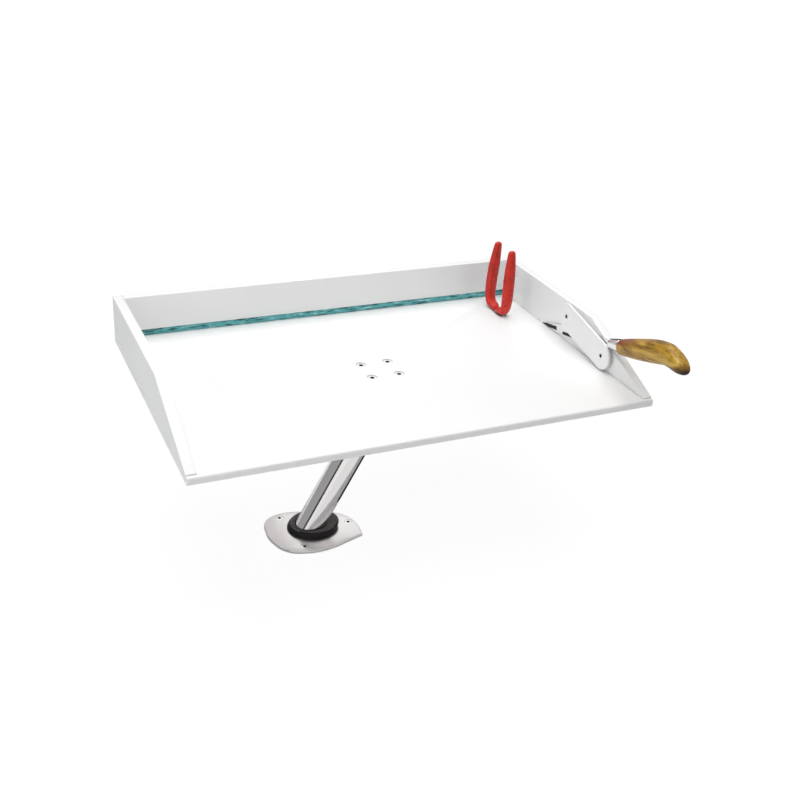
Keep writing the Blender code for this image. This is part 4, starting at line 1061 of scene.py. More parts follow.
class CUTTING_TABLE_OT_strip(bpy.types.Operator):
    """Sea-green strip that the back wall stands on"""

    bl_idname = "cutting_table.strip"
    bl_label = "Strip"

    def execute(self, context):
        sizes = context.scene.tray_sizes
        low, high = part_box("wall_seal_strip")
        strip = block("strip_of_back_wall", low, high)
        bevel_chosen(strip, lambda edge: span_of(edge).x > 0.1, 0.0012, 4)
        bore = straight_hole(sizes.wall_shank + sizes.clearance, -0.01, 0.02)
        drill(strip, bore, above(BACK_SCREWS, low.z), sides=24)
        dress(strip, "tray", "sea_green_strip", ("wall_seal_strip",))
        return {"FINISHED"}


class CUTTING_TABLE_OT_guard(bpy.types.Operator):
    """Guard plate with two round ends, and the spacers behind it"""

    bl_idname = "cutting_table.guard"
    bl_label = "Knife guard"

    def execute(self, context):
        sizes = context.scene.tray_sizes
        gap = sizes.clearance
        low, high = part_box("knife_guard")
        front, rear = centre("guard_front_spacer"), centre("guard_rear_spacer")
        reach = Vector((0.0, rear.y - front.y, rear.z - front.z))
        deselect()
        bpy.ops.mesh.primitive_cylinder_add(
            vertices=128,
            radius=sizes.guard_radius,
            depth=high.x - low.x,
            location=((low.x + high.x) / 2, front.y, front.z),
            rotation=(0.0, math.radians(90), 0.0),
        )
        plate = named("guard_plate")
        edit(plate)
        choose(plate, "VERT", lambda v: (v.co - front).dot(reach) > reach.length * 0.0001)
        bpy.ops.transform.translate(value=reach)
        leave()
        slice_off(plate, (0.0, 0.0, low.z), (0.0, 0.0, -1.0))
        round_edges(plate, 0.0006, 3)
        seat = screw_seat(GUARD_SCREWS[0], sizes.guard_shank, gap, 0.002)
        seat = [(radius, -level) for radius, level in seat]
        drill(plate, seat, [(low.x, front.y, front.z), (low.x, rear.y, rear.z)], "X")
        dress(plate, "tray", "white_board", ("knife_guard",), 25.0)
        low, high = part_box("guard_front_spacer")
        thick = high.x - low.x
        rim = (high.y - low.y) / 2
        ring = ring_profile(sizes.guard_shank + gap, rim, thick, 0.0004)
        spacer = turned("spacer_front", ring, 64, True, "X")
        settle(spacer, (low.x, front.y, front.z))
        twins = ["guard_front_spacer", "guard_rear_spacer"]
        repeat(spacer, ["spacer_front", "spacer_rear"], "tray", twins, "white_board")
        return {"FINISHED"}


# Bracket, clamp and post


class CUTTING_TABLE_OT_bracket(bpy.types.Operator):
    """Cast bracket under the board"""

    bl_idname = "cutting_table.bracket"
    bl_label = "Bracket"

    def execute(self, context):
        bracket = from_frame("bracket", "tray_bracket")
        round_edges(bracket, 0.0007, 2, 40.0)
        dress(bracket, "tray", "cast_alloy", ("tray_bracket",), 40.0)
        return {"FINISHED"}


class CUTTING_TABLE_OT_clamp(bpy.types.Operator):
    """Pivot bolt, washer and friction discs"""

    bl_idname = "cutting_table.clamp"
    bl_label = "Clamp"

    def execute(self, context):
        sizes = context.scene.clamp_sizes
        inner = sizes.bolt + SLIP
        for name, twin, slot in (
            ("disc_rear", "friction_disc_rear", "black_plastic"),
            ("disc_front", "friction_disc_front", "black_plastic"),
            ("washer", "clamp_washer", "stainless"),
        ):
            low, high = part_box(twin)
            rim = (high.z - low.z) / 2
            thick = high.y - low.y
            disc = turned(name, ring_profile(inner, rim, thick, 0.0003), 72, True, "Y")
            settle(disc, (PIVOT.x, low.y, PIVOT.z))
            dress(disc, "tray", slot, (twin,))
        low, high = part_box("pivot_bolt")
        shank = [(sizes.bolt * 0.8, low.y), (sizes.bolt, low.y + 0.001)]
        level = low.y + 0.0018
        while level < low.y + 0.020:
            shank += [(sizes.bolt, level), (sizes.bolt * 0.86, level + 0.0004)]
            shank += [(sizes.bolt * 0.86, level + 0.0006), (sizes.bolt, level + 0.0010)]
            level += 0.00125
        shank += [(sizes.bolt, high.y - sizes.bolt_head + 0.001)]
        bolt = turned("bolt", shank, 48, axis="Y")
        settle(bolt, (PIVOT.x, 0.0, PIVOT.z))
        across = (high.z - low.z) / 2
        head = turned("bolt_head", ((across, 0.0), (across, sizes.bolt_head)), 6, axis="Y")
        settle(head, (PIVOT.x, high.y - sizes.bolt_head, PIVOT.z))
        dome = turned(
            "bolt_chamfer",
            (
                (across * 1.2, -0.001),
                (across * 1.2, sizes.bolt_head * 0.82),
                (across * 0.80, sizes.bolt_head + 0.0008),
            ),
            64,
            axis="Y",
        )
        settle(dome, (PIVOT.x, high.y - sizes.bolt_head, PIVOT.z))
        combine(head, dome, "INTERSECT")
        combine(bolt, head, "UNION")
        dress(bolt, "tray", "stainless", ("pivot_bolt",))
        return {"FINISHED"}


class CUTTING_TABLE_OT_knob(bpy.types.Operator):
    """Lobed clamp knob and its insert"""

    bl_idname = "cutting_table.knob"
    bl_label = "Clamp knob"

    def execute(self, context):
        sizes = context.scene.clamp_sizes
        low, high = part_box("clamp_knob")
        insert_low, insert_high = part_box("knob_insert")
        radius = max(high.x - PIVOT.x, PIVOT.x - low.x, high.z - PIVOT.z)
        face = high.y - 0.006
        thick = face - low.y
        profile = (
            (0.0105, high.y),
            (0.0105, face),
            (radius * 0.90, face),
            (radius * 0.985, face - thick * 0.06),
            (radius, face - thick * 0.18),
            (radius, face - thick * 0.70),
            (radius * 0.96, face - thick * 0.86),
            (radius * 0.88, face - thick * 0.95),
            (radius * 0.74, low.y),
        )
        knob = turned("knob", [(r, -y) for r, y in profile], 120)
        flute = 0.0120
        reach = radius - sizes.flute_depth + flute
        for i in range(sizes.lobes):
            angle = math.tau * (i + 0.5) / sizes.lobes
            place = (reach * math.cos(angle), reach * math.sin(angle), 0.0)
            cutter = turned("flute", ((flute, -face - 0.0005), (flute, -low.y + 0.01)), 64)
            combine(knob, settle(cutter, place))
        round_edges(knob, 0.0008, 3, 28.0)
        bore = (insert_high.z - insert_low.z) / 2 + SLIP
        through = straight_hole(bore, -high.y - 0.01, -low.y + 0.01)
        drill(knob, through, [(0.0, 0.0, 0.0)], sides=64)
        settle(knob, rotation=(math.radians(90), 0.0, 0.0))
        settle(knob, (PIVOT.x, 0.0, PIVOT.z))
        dress(knob, "knob", "black_plastic", ("clamp_knob",))
        rim = (insert_high.z - insert_low.z) / 2
        hole = sizes.bolt + 0.0004
        span = insert_high.y - insert_low.y
        ring = ring_profile(hole, rim, span, 0.0004)
        ring[0] = (hole + 0.0005, 0.0)
        ring.append((hole, 0.0005))
        insert = turned("insert", ring, 48, True, "Y")
        settle(insert, (PIVOT.x, insert_low.y, PIVOT.z))
        dress(insert, "knob", "brass", ("knob_insert",))
        return {"FINISHED"}


def half_circle(radius, level, steps):
    """Points of the upper half of a circle around a level on the axis."""
    angles = [math.pi * i / steps for i in range(steps + 1)]
    return [(radius * math.cos(angle), level + radius * math.sin(angle)) for angle in angles]


def rivet_profile(shank, face, dome):
    """Profile of a rivet with the same domed head at both ends; dome is (radius, rise)."""
    lower = [(radius, -face - rise) for radius, rise in reversed(dome)]
    upper = [(radius, face + rise) for radius, rise in dome]
    return lower + [(shank, -face), (shank, face)] + upper


class CUTTING_TABLE_OT_post(bpy.types.Operator):
    """Post tube, its cast head, the rivet and the slotted end"""

    bl_idname = "cutting_table.post"
    bl_label = "Post"

    def execute(self, context):
        sizes = context.scene.holder_sizes
        clamp = context.scene.clamp_sizes
        lean = (0.0, LEAN, 0.0)
        pivot = PIVOT.z / math.cos(LEAN)
        shoulder = pivot - 0.0250
        tube_top = shoulder - 0.0053
        slot_top = PIN_LEVEL + PIN_GROOVE
        foot = slot_top - 0.0120
        skirt = foot + END_RIM
        bottom = skirt + SLIP
        bore = sizes.post - sizes.post_wall
        ring = [
            (bore, bottom),
            (sizes.post - 0.0003, bottom),
            (sizes.post, bottom + 0.0003),
            (sizes.post, tube_top - 0.0003),
            (sizes.post - 0.0003, tube_top),
            (bore, tube_top),
        ]
        tube = turned("tube", ring, 128, True)
        pin_level = tube_top - 0.0180
        pin_hole = straight_hole(0.0033, -0.04, 0.04)
        drill(tube, pin_hole, [(0.0, 0.0, pin_level)], "Y", 32)
        settle(tube, rotation=lean)
        dress(tube, "post", "stainless", ("post_tube",))

        plug = bore - SLIP
        profile = [
            (plug - 0.001, tube_top - 0.0400),
            (plug, tube_top - 0.0380),
            (plug, tube_top + SLIP),
            (sizes.post, tube_top + SLIP),
            (sizes.post, shoulder - 0.0014),
            (sizes.post - 0.0004, shoulder - 0.0005),
            (sizes.post - 0.0013, shoulder),
            (clamp.tongue * 0.9, shoulder + 0.002),
        ]
        head = turned("head", profile, 96)
        half = clamp.tongue_width / 2
        outline = [(-clamp.tongue, shoulder - 0.003), (clamp.tongue, shoulder - 0.003)]
        outline += half_circle(clamp.tongue, pivot, 32)
        tongue = settle(outlined("tongue", outline, clamp.tongue_width, "Y"), (0.0, -half, 0.0))
        round_edges(tongue, 0.0008, 2)
        combine(head, tongue, "UNION")
        bolt_hole = straight_hole(clamp.bolt + 0.0004, -0.04, 0.04)
        drill(head, bolt_hole, [(0.0, 0.0, pivot)], "Y", 48)
        drill(head, pin_hole, [(0.0, 0.0, pin_level)], "Y", 32)
        settle(head, rotation=lean)
        dress(head, "post", "cast_alloy", ("post_head",))

        dome = ((0.0051, 0.0), (0.0042, 0.0006), (0.0030, 0.0011), (0.0014, 0.0014))
        rivet = rivet_profile(0.0030, sizes.post + SLIP, dome)
        pin = settle(turned("rivet_of_head", rivet, 40, axis="Y"), (0.0, 0.0, pin_level))
        settle(pin, rotation=lean)
        dress(pin, "post", "stainless", ("head_rivet",))

        profile = [
            (sizes.post - 0.0015, foot),
            (sizes.post - 0.0005, foot + 0.0004),
            (sizes.post, foot + 0.0015),
            (sizes.post, skirt),
            (plug, skirt),
            (plug, skirt + 0.0230),
            (plug - 0.002, skirt + 0.0250),
        ]
        end = turned("slotted_end", profile, 96)
        outline = [(-PIN_GROOVE, foot - 0.001), (PIN_GROOVE, foot - 0.001)]
        outline += half_circle(PIN_GROOVE, slot_top - PIN_GROOVE, 16)
        for axis, shift in (("X", (-0.03, 0.0, 0.0)), ("Y", (0.0, -0.03, 0.0))):
            combine(end, settle(outlined("groove", outline, 0.06, axis), shift))
        settle(end, rotation=lean)
        dress(end, "post", "natural_nylon", ("gimbal_end",))
        return {"FINISHED"}


# Deck holder


def on_axis(level):
    """Point where the post's axis crosses a level."""
    return Vector((level * math.tan(LEAN), 0.0, level))


def holder_radii(sizes):
    """Radii of the liner's bore and rim, and of the barrel's bore and rim."""
    liner_bore = sizes.post + POST_SLIP
    liner_rim = liner_bore + sizes.liner_wall
    barrel_bore = liner_rim + SLIP
    return liner_bore, liner_rim, barrel_bore, barrel_bore + sizes.barrel_wall


class CUTTING_TABLE_OT_flange(bpy.types.Operator):
    """Polished deck flange with one pointed corner"""

    bl_idname = "cutting_table.flange"
    bl_label = "Flange"

    def execute(self, context):
        sizes = context.scene.holder_sizes
        reach = sizes.plate_reach
        shares = (
            (1.000, -0.512),
            (0.699, -0.605),
            (0.245, -0.735),
            (-0.245, -0.720),
            (-0.576, -0.562),
            (-0.764, -0.187),
            (-0.778, 0.173),
            (-0.663, 0.533),
            (-0.360, 0.677),
            (0.115, 0.620),
            (0.548, 0.468),
            (0.918, 0.205),
            (1.029, -0.179),
        )
        deselect()
        bpy.ops.curve.primitive_bezier_circle_add(radius=reach)
        curve = bpy.context.object
        spline = curve.data.splines[0]
        spline.bezier_points.add(len(shares) - len(spline.bezier_points))
        for point, (x, y) in zip(spline.bezier_points, shares):
            point.co = (x * reach, y * reach, 0.0)
            point.handle_left_type = "AUTO"
            point.handle_right_type = "AUTO"
        corner = spline.bezier_points[0]
        corner.handle_left_type = "VECTOR"
        corner.handle_right_type = "VECTOR"
        curve.data.resolution_u = 14
        curve.data.dimensions = "2D"
        curve.data.fill_mode = "BOTH"
        curve.data.extrude = sizes.plate / 2
        bpy.ops.object.convert(target="MESH")
        flange = settle(bpy.context.object, (0.0, 0.0, sizes.plate / 2))
        flange = named("flange")
        edit(flange)
        bpy.ops.mesh.select_all(action="SELECT")
        bpy.ops.mesh.remove_doubles(threshold=0.00002)
        bpy.ops.mesh.dissolve_limited(angle_limit=math.radians(0.2))
        bpy.ops.mesh.normals_make_consistent(inside=False)
        leave()
        bevel_chosen(
            flange,
            lambda edge: min(v.co.z for v in edge.verts) > sizes.plate * 0.9,
            0.0017,
            5,
        )
        barrel = holder_radii(sizes)[3]
        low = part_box("holder_flange")[0]
        around = (barrel / math.cos(LEAN) + 0.0030, barrel + 0.0030)
        boss = ovals("boss", ((on_axis(low.z), *around), (on_axis(0.001), *around)), 96)
        combine(flange, boss, "UNION")
        cutter = turned("bore", straight_hole(barrel + SLIP, -0.07, 0.07), 96)
        combine(flange, settle(cutter, rotation=(0.0, LEAN, 0.0)))
        seat = screw_seat(DECK_SCREWS[0], sizes.deck_shank, SLIP, 0.003)
        drill(flange, seat, above(DECK_SCREWS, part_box(DECK_SCREWS[0])[1].z))
        mark(flange, "satin", lambda face: face.center.z > 0.0)
        dress(flange, "rod_holder", "stainless", ("holder_flange",), 30.0)
        return {"FINISHED"}


class CUTTING_TABLE_OT_holder(bpy.types.Operator):
    """Barrel, cross pin, rubber liner with its collar, and the cap"""

    bl_idname = "cutting_table.holder"
    bl_label = "Holder"

    def execute(self, context):
        sizes = context.scene.holder_sizes
        lean = (0.0, LEAN, 0.0)
        liner_bore, liner_rim, barrel_bore, barrel_rim = holder_radii(sizes)
        depth = BARREL_DEPTH
        ring = [
            (barrel_bore, -depth),
            (barrel_rim - 0.0003, -depth),
            (barrel_rim, -depth + 0.0003),
            (barrel_rim, 0.05),
            (barrel_bore, 0.05),
        ]
        barrel = turned("barrel", ring, 96, True)
        drill(barrel, straight_hole(0.0043, -0.05, 0.05), [(0.0, 0.0, PIN_LEVEL)], "Y", 32)
        settle(barrel, rotation=lean)
        combine(barrel, block("above", (-0.1, -0.1, sizes.plate), (0.1, 0.1, 0.1)))
        dress(barrel, "rod_holder", "stainless", ("holder_barrel",))

        pin_profile = (
            (0.0036, -barrel_rim),
            (0.0040, -barrel_rim + 0.0004),
            (0.0040, barrel_rim - 0.0004),
            (0.0036, barrel_rim),
        )
        pin = settle(turned("cross_pin", pin_profile, 40, axis="Y"), (0.0, 0.0, PIN_LEVEL))
        settle(pin, rotation=lean)
        dress(pin, "rod_holder", "stainless", ("gimbal_pin",))

        bottom = PIN_LEVEL + PIN_GROOVE + END_RIM
        liner = turned("liner", ((liner_rim, bottom), (liner_rim, 0.02)), 96)
        settle(liner, rotation=lean)
        foot = sizes.plate + SLIP
        crown = foot + sizes.collar_height
        along, across = sizes.collar_length / 2, sizes.collar_width / 2
        aside = Vector((sizes.collar_ahead, sizes.collar_aside, 0.0))
        bulge = sizes.collar_height * 0.11
        mouth = Vector((liner_bore / math.cos(LEAN) + 0.0007, liner_bore + 0.0007))
        flare = Vector((0.0014, 0.0014))
        stations = []
        for share, inset in (
            (0.0, 1.0),
            (0.10, 0.45),
            (0.24, 0.08),
            (0.38, 0.0),
            (0.52, 0.12),
            (0.66, 0.50),
            (0.78, 1.05),
            (0.88, 1.9),
            (0.96, 3.1),
            (1.0, 4.8),
            (1.0, 6.5),
        ):
            middle = on_axis(foot + share * sizes.collar_height) + aside
            stations.append((middle, along - inset * bulge, across - inset * bulge))
        stations.append((on_axis(crown - 0.0008), *(mouth + flare)))
        combine(liner, ovals("collar", stations, 128), "UNION")
        funnel_foot = (on_axis(foot + sizes.collar_height * 0.3), *(mouth - flare))
        funnel = ovals("funnel", (funnel_foot, (on_axis(crown + 0.001), *mouth)), 96)
        combine(liner, block("above", (-0.1, -0.1, crown + 0.0005), (0.1, 0.1, 0.1)))
        combine(liner, funnel)
        cutter = turned("bore", straight_hole(liner_bore, bottom - 0.01, 0.06), 96)
        combine(liner, settle(cutter, rotation=lean))
        # The liner's top ridge is marked for a painted highlight.
        highlight_foot = crown - 0.0022
        mark(liner, "crest", lambda face: face.normal.z > 0.80 and face.center.z > highlight_foot)
        dress(liner, "rod_holder", "black_rubber", ("holder_liner",), 40.0)

        cap_bore = barrel_rim + SLIP
        cap_rim = cap_bore + 0.0025
        inner = -depth - SLIP
        floor = inner - 0.0030
        spout = 0.0075
        ring = [
            (cap_bore, inner + 0.0140),
            (cap_rim - 0.0005, inner + 0.0140),
            (cap_rim, inner + 0.0135),
            (cap_rim, inner + 0.0105),
            (cap_rim - 0.0006, inner + 0.0099),
            (cap_rim - 0.0006, inner + 0.0072),
            (cap_rim, inner + 0.0066),
            (cap_rim, floor + 0.0012),
            (cap_rim - 0.0012, floor),
            (spout + 0.0010, floor),
            (spout, floor - 0.0010),
            (spout * 0.94, floor - 0.0060),
            (spout, floor - 0.0066),
            (spout * 0.88, floor - 0.0120),
            (0.0050, floor - 0.0120),
            (0.0050, inner),
            (cap_bore, inner),
        ]
        cap = turned("cap", ring, 80, True)
        settle(cap, rotation=lean)
        dress(cap, "rod_holder", "black_rubber", ("holder_cap",))
        return {"FINISHED"}


# Knife


def knife_rise(sizes, share):
    """Height of the edge and of the spine over the knife's axis at a share of the blade."""
    half = sizes.blade_height / 2
    straight = 0.56
    sweep = max(share - straight, 0.0) / (1.0 - straight)
    edge = -half + sizes.tip_rise * sweep**2.2
    tip = -half + sizes.tip_rise + 0.0006
    spine = half + (tip - half) * share**2.4
    return edge, spine


def blade_reflection(face):
    """Says whether a face of the blade lies in one of the two dark streaks by the guard, which are a
    painted dark reflection.
    """
    x, y, z = face.center
    upper = y > 0.116 and -0.0052 < z < 0.0002
    lower = 0.075 < y < 0.101 and z < -0.0040
    return face.normal.x < -0.2 and (upper or lower)


def tang_slot(end):
    """The form of the slot for the tang, from the heel back to its end."""
    (left, foot), (right, top) = TANG_SLOT
    return block("slot", (left, end, foot), (right, 0.0, top))


class CUTTING_TABLE_OT_blade(bpy.types.Operator):
    """Ground filleting blade with its tang"""

    bl_idname = "cutting_table.blade"
    bl_label = "Blade"

    def execute(self, context):
        sizes = context.scene.knife_sizes
        thick = sizes.blade_thickness / 2
        columns = 56
        deselect()
        bpy.ops.mesh.primitive_grid_add(x_subdivisions=12, y_subdivisions=columns, size=1.0)
        blade = named("blade")
        edit(blade)
        bpy.ops.mesh.select_all(action="SELECT")
        middle = (0.0, 0.0, 0.0)
        bpy.ops.transform.rotate(value=math.radians(90), orient_axis="Y", center_override=middle)
        leave()
        start = -sizes.ricasso
        total = sizes.blade + sizes.ricasso
        for vertex in blade.data.vertices:
            share = vertex.co.y + 0.5
            rise = vertex.co.z + 0.5
            along = start + share * total
            if along >= 0:
                edge, spine = knife_rise(sizes, along / sizes.blade)
            else:
                part = -along / sizes.ricasso
                spine = sizes.blade_height / 2 - part * (sizes.blade_height / 2 - 0.0056)
                edge = -sizes.blade_height / 2 * (1.0 - max(part - 0.35, 0.0) / 0.65 * 0.36)
            vertex.co = (0.0, along, edge + (spine - edge) * rise)
        ground = blade.vertex_groups.new(name="ground")
        for vertex in blade.data.vertices:
            row_edge, row_spine = knife_rise(sizes, max(vertex.co.y, 0.0) / sizes.blade)
            rise = (vertex.co.z - row_edge) / max(row_spine - row_edge, 0.0001)
            taper = 1.0 - 0.6 * max(vertex.co.y, 0.0) / sizes.blade
            weight = min(max(rise, 0.0) / 0.55, 1.0) * taper
            ground.add([vertex.index], max(weight, 0.16), "REPLACE")
        finish_with(blade, "SOLIDIFY", thickness=thick * 2, offset=0.0, vertex_group="ground")
        low = (-thick * 0.8, -sizes.ricasso - 0.0400, TANG_LEVEL - 0.0030)
        high = (thick * 0.8, -sizes.ricasso + 0.001, TANG_LEVEL + 0.0030)
        combine(blade, block("tang", low, high), "UNION")
        # Two streaks on one side of the blade get a painted dark reflection.
        mark(blade, "shaded", blade_reflection)
        settle(blade, sizes.heel, (-KNIFE_SLOPE, 0.0, 0.0))
        dress(blade, "knife", "stainless", ("knife_blade",), 20.0)
        return {"FINISHED"}


class CUTTING_TABLE_OT_ferrule(bpy.types.Operator):
    """Polished ferrule between blade and grip"""

    bl_idname = "cutting_table.ferrule"
    bl_label = "Ferrule"

    def execute(self, context):
        sizes = context.scene.knife_sizes
        stations = []
        for share, swell in (
            (0.0, 0.90),
            (0.03, 0.97),
            (0.12, 1.0),
            (0.30, 1.0),
            (0.50, 1.0),
            (0.70, 1.0),
            (0.88, 1.0),
            (0.97, 0.97),
            (1.0, 0.92),
        ):
            grow = share**0.8
            wide = (0.0052 + 0.0030 * grow) * swell
            tall = (0.0064 + 0.0030 * grow) * swell
            y = -sizes.ricasso - SLIP - sizes.ferrule * share
            stations.append((y, TANG_LEVEL + 0.0016 * share, wide, tall, math.radians(90)))
        ferrule = drawn("ferrule", stations, 64)
        combine(ferrule, tang_slot(-0.06))
        # The top and bottom bands of the ferrule get a painted dark reflection.
        mark(ferrule, "shaded", lambda face: abs(face.normal.z) > 0.80)
        settle(ferrule, sizes.heel, (-KNIFE_SLOPE, 0.0, 0.0))
        dress(ferrule, "knife", "stainless", ("knife_ferrule",), 40.0)
        return {"FINISHED"}


class CUTTING_TABLE_OT_grip(bpy.types.Operator):
    """Amber grip: slim at the ferrule, a full palm and a drooping butt"""

    bl_idname = "cutting_table.grip"
    bl_label = "Grip"

    def execute(self, context):
        sizes = context.scene.knife_sizes
        start = -sizes.ricasso - sizes.ferrule - 0.0006
        stations = []
        for behind, rise, wide, tall, turn in (
            (0.000, 0.030, 0.640, 0.505, 0.0),
            (0.006, 0.030, 0.700, 0.565, 0.0),
            (0.028, 0.032, 0.742, 0.610, -3.0),
            (0.085, 0.040, 0.810, 0.655, -5.0),
            (0.148, 0.049, 0.871, 0.705, -7.0),
            (0.222, 0.058, 0.925, 0.750, -7.0),
            (0.296, 0.067, 0.968, 0.790, -7.0),
            (0.370, 0.077, 0.990, 0.822, -7.0),
            (0.444, 0.087, 1.000, 0.845, -6.0),
            (0.515, 0.096, 1.002, 0.860, -4.0),
            (0.584, 0.103, 1.000, 0.865, -2.0),
            (0.628, 0.108, 0.992, 0.845, 0.5),
            (0.668, 0.111, 0.984, 0.822, 3.0),
            (0.708, 0.113, 0.974, 0.812, 6.5),
            (0.746, 0.112, 0.968, 0.816, 10.0),
            (0.776, 0.108, 0.967, 0.855, 14.0),
            (0.802, 0.103, 0.968, 0.908, 18.0),
            (0.830, 0.097, 0.962, 0.942, 21.0),
            (0.858, 0.090, 0.952, 0.957, 24.0),
            (0.887, 0.084, 0.932, 0.940, 27.0),
            (0.915, 0.079, 0.903, 0.908, 30.0),
            (0.938, 0.074, 0.855, 0.840, 32.0),
            (0.957, 0.070, 0.790, 0.748, 34.0),
            (0.973, 0.066, 0.695, 0.650, 35.0),
            (0.985, 0.063, 0.581, 0.528, 36.0),
            (0.995, 0.060, 0.430, 0.390, 36.5),
            (1.000, 0.059, 0.240, 0.220, 37.0),
        ):
            y = start - behind * sizes.grip
            z = rise * sizes.grip * GRIP_LIFT
            lean = math.radians(90) - math.radians(turn)
            across, up = wide * sizes.grip_half_width, tall * sizes.grip_half_height
            stations.append((y, z, across, up, lean))
        grip = drawn("grip", stations, 28)
        subdivide(grip, 2)
        combine(grip, tang_slot(-0.0530))
        settle(grip, sizes.heel, (-KNIFE_SLOPE, 0.0, 0.0))
        dress(grip, "knife", "horn_handle", ("knife_handle",), 50.0)
        return {"FINISHED"}


# Pliers


def handle_stations(sizes):
    """Centre line of a handle: (across, up, direction, shift, half width, half depth, wall)."""
    shares = (
        (0.131, 0.041),
        (0.136, 0.070),
        (0.150, 0.100),
        (0.190, 0.126),
        (0.270, 0.138),
        (0.377, 0.143),
        (0.500, 0.145),
        (0.623, 0.148),
        (0.738, 0.156),
        (0.840, 0.175),
        (0.925, 0.210),
        (0.972, 0.255),
        (0.995, 0.310),
        (1.000, 0.372),
        (0.990, 0.465),
        (0.957, 0.590),
        (0.910, 0.727),
        (0.855, 0.862),
        (0.812, 0.978),
    )
    grown = (0.42, 0.42, 0.42, 0.52, 0.66, 0.78, 0.84, 0.86, 0.86, 0.86, 0.87, 0.89, 0.93, 0.97)
    points = [Vector((across * sizes.bow, up * sizes.handle)) for across, up in shares]
    stations = []
    for i, point in enumerate(points):
        ahead = points[min(i + 1, len(points) - 1)]
        behind = points[max(i - 1, 0)]
        run = ahead - behind
        left = sum((b - a).length for a, b in zip(points[i:], points[i + 1 :]))
        share = 1.0 - 0.34 * max(1.0 - left / sizes.sleeve_taper, 0.0)
        grow = grown[i] if i < len(grown) else 1.0
        wide = sizes.sleeve_wide * share * (0.3 + 0.7 * grow)
        deep = sizes.sleeve_deep * share * grow
        height = point.y / sizes.handle
        shift = sizes.lean_back * min(max((height - 0.04) / 0.09, 0.0), 1.0)
        shift *= 1.0 - 0.6 * max(height - 0.5, 0.0) / 0.5
        wall = sizes.sleeve_wall * grow
        stations.append((point.x, point.y, math.atan2(run.x, run.y), shift, wide, deep, wall))
    return stations


class CUTTING_TABLE_OT_plier_grips(bpy.types.Operator):
    """Red dipped sleeves of the pliers"""

    bl_idname = "cutting_table.plier_grips"
    bl_label = "Plier grips"

    def execute(self, context):
        sizes = context.scene.plier_sizes
        line = handle_stations(sizes)
        for side, name, twin, body in (
            (1, "sleeve_rear", "plier_grip_rear", "plier_swing"),
            (-1, "sleeve_front", "plier_grip_front", "pliers"),
        ):
            stations = []
            for across, up, run, shift, wide, deep, wall in line[-3:1:-1]:
                y = side * across + shift
                stations.append((y, up, wide - wall, deep - wall, -side * run))
            for across, up, run, shift, wide, deep, wall in line[2:]:
                stations.append((side * across + shift, up, wide, deep, -side * run))
            for angle in (22.0, 42.0, 60.0, 76.0):
                shrink = math.cos(math.radians(angle))
                rise = deep * math.sin(math.radians(angle))
                y = side * (across + rise * math.sin(run)) + shift
                top = up + rise * math.cos(run)
                stations.append((y, top, wide * shrink, deep * shrink, -side * run))
            sleeve = drawn(name, stations, 20)
            subdivide(sleeve, 2)
            settle(sleeve, PLIER_PIVOT)
            dress(sleeve, body, "red_dip", (twin,), 60.0)
        return {"FINISHED"}


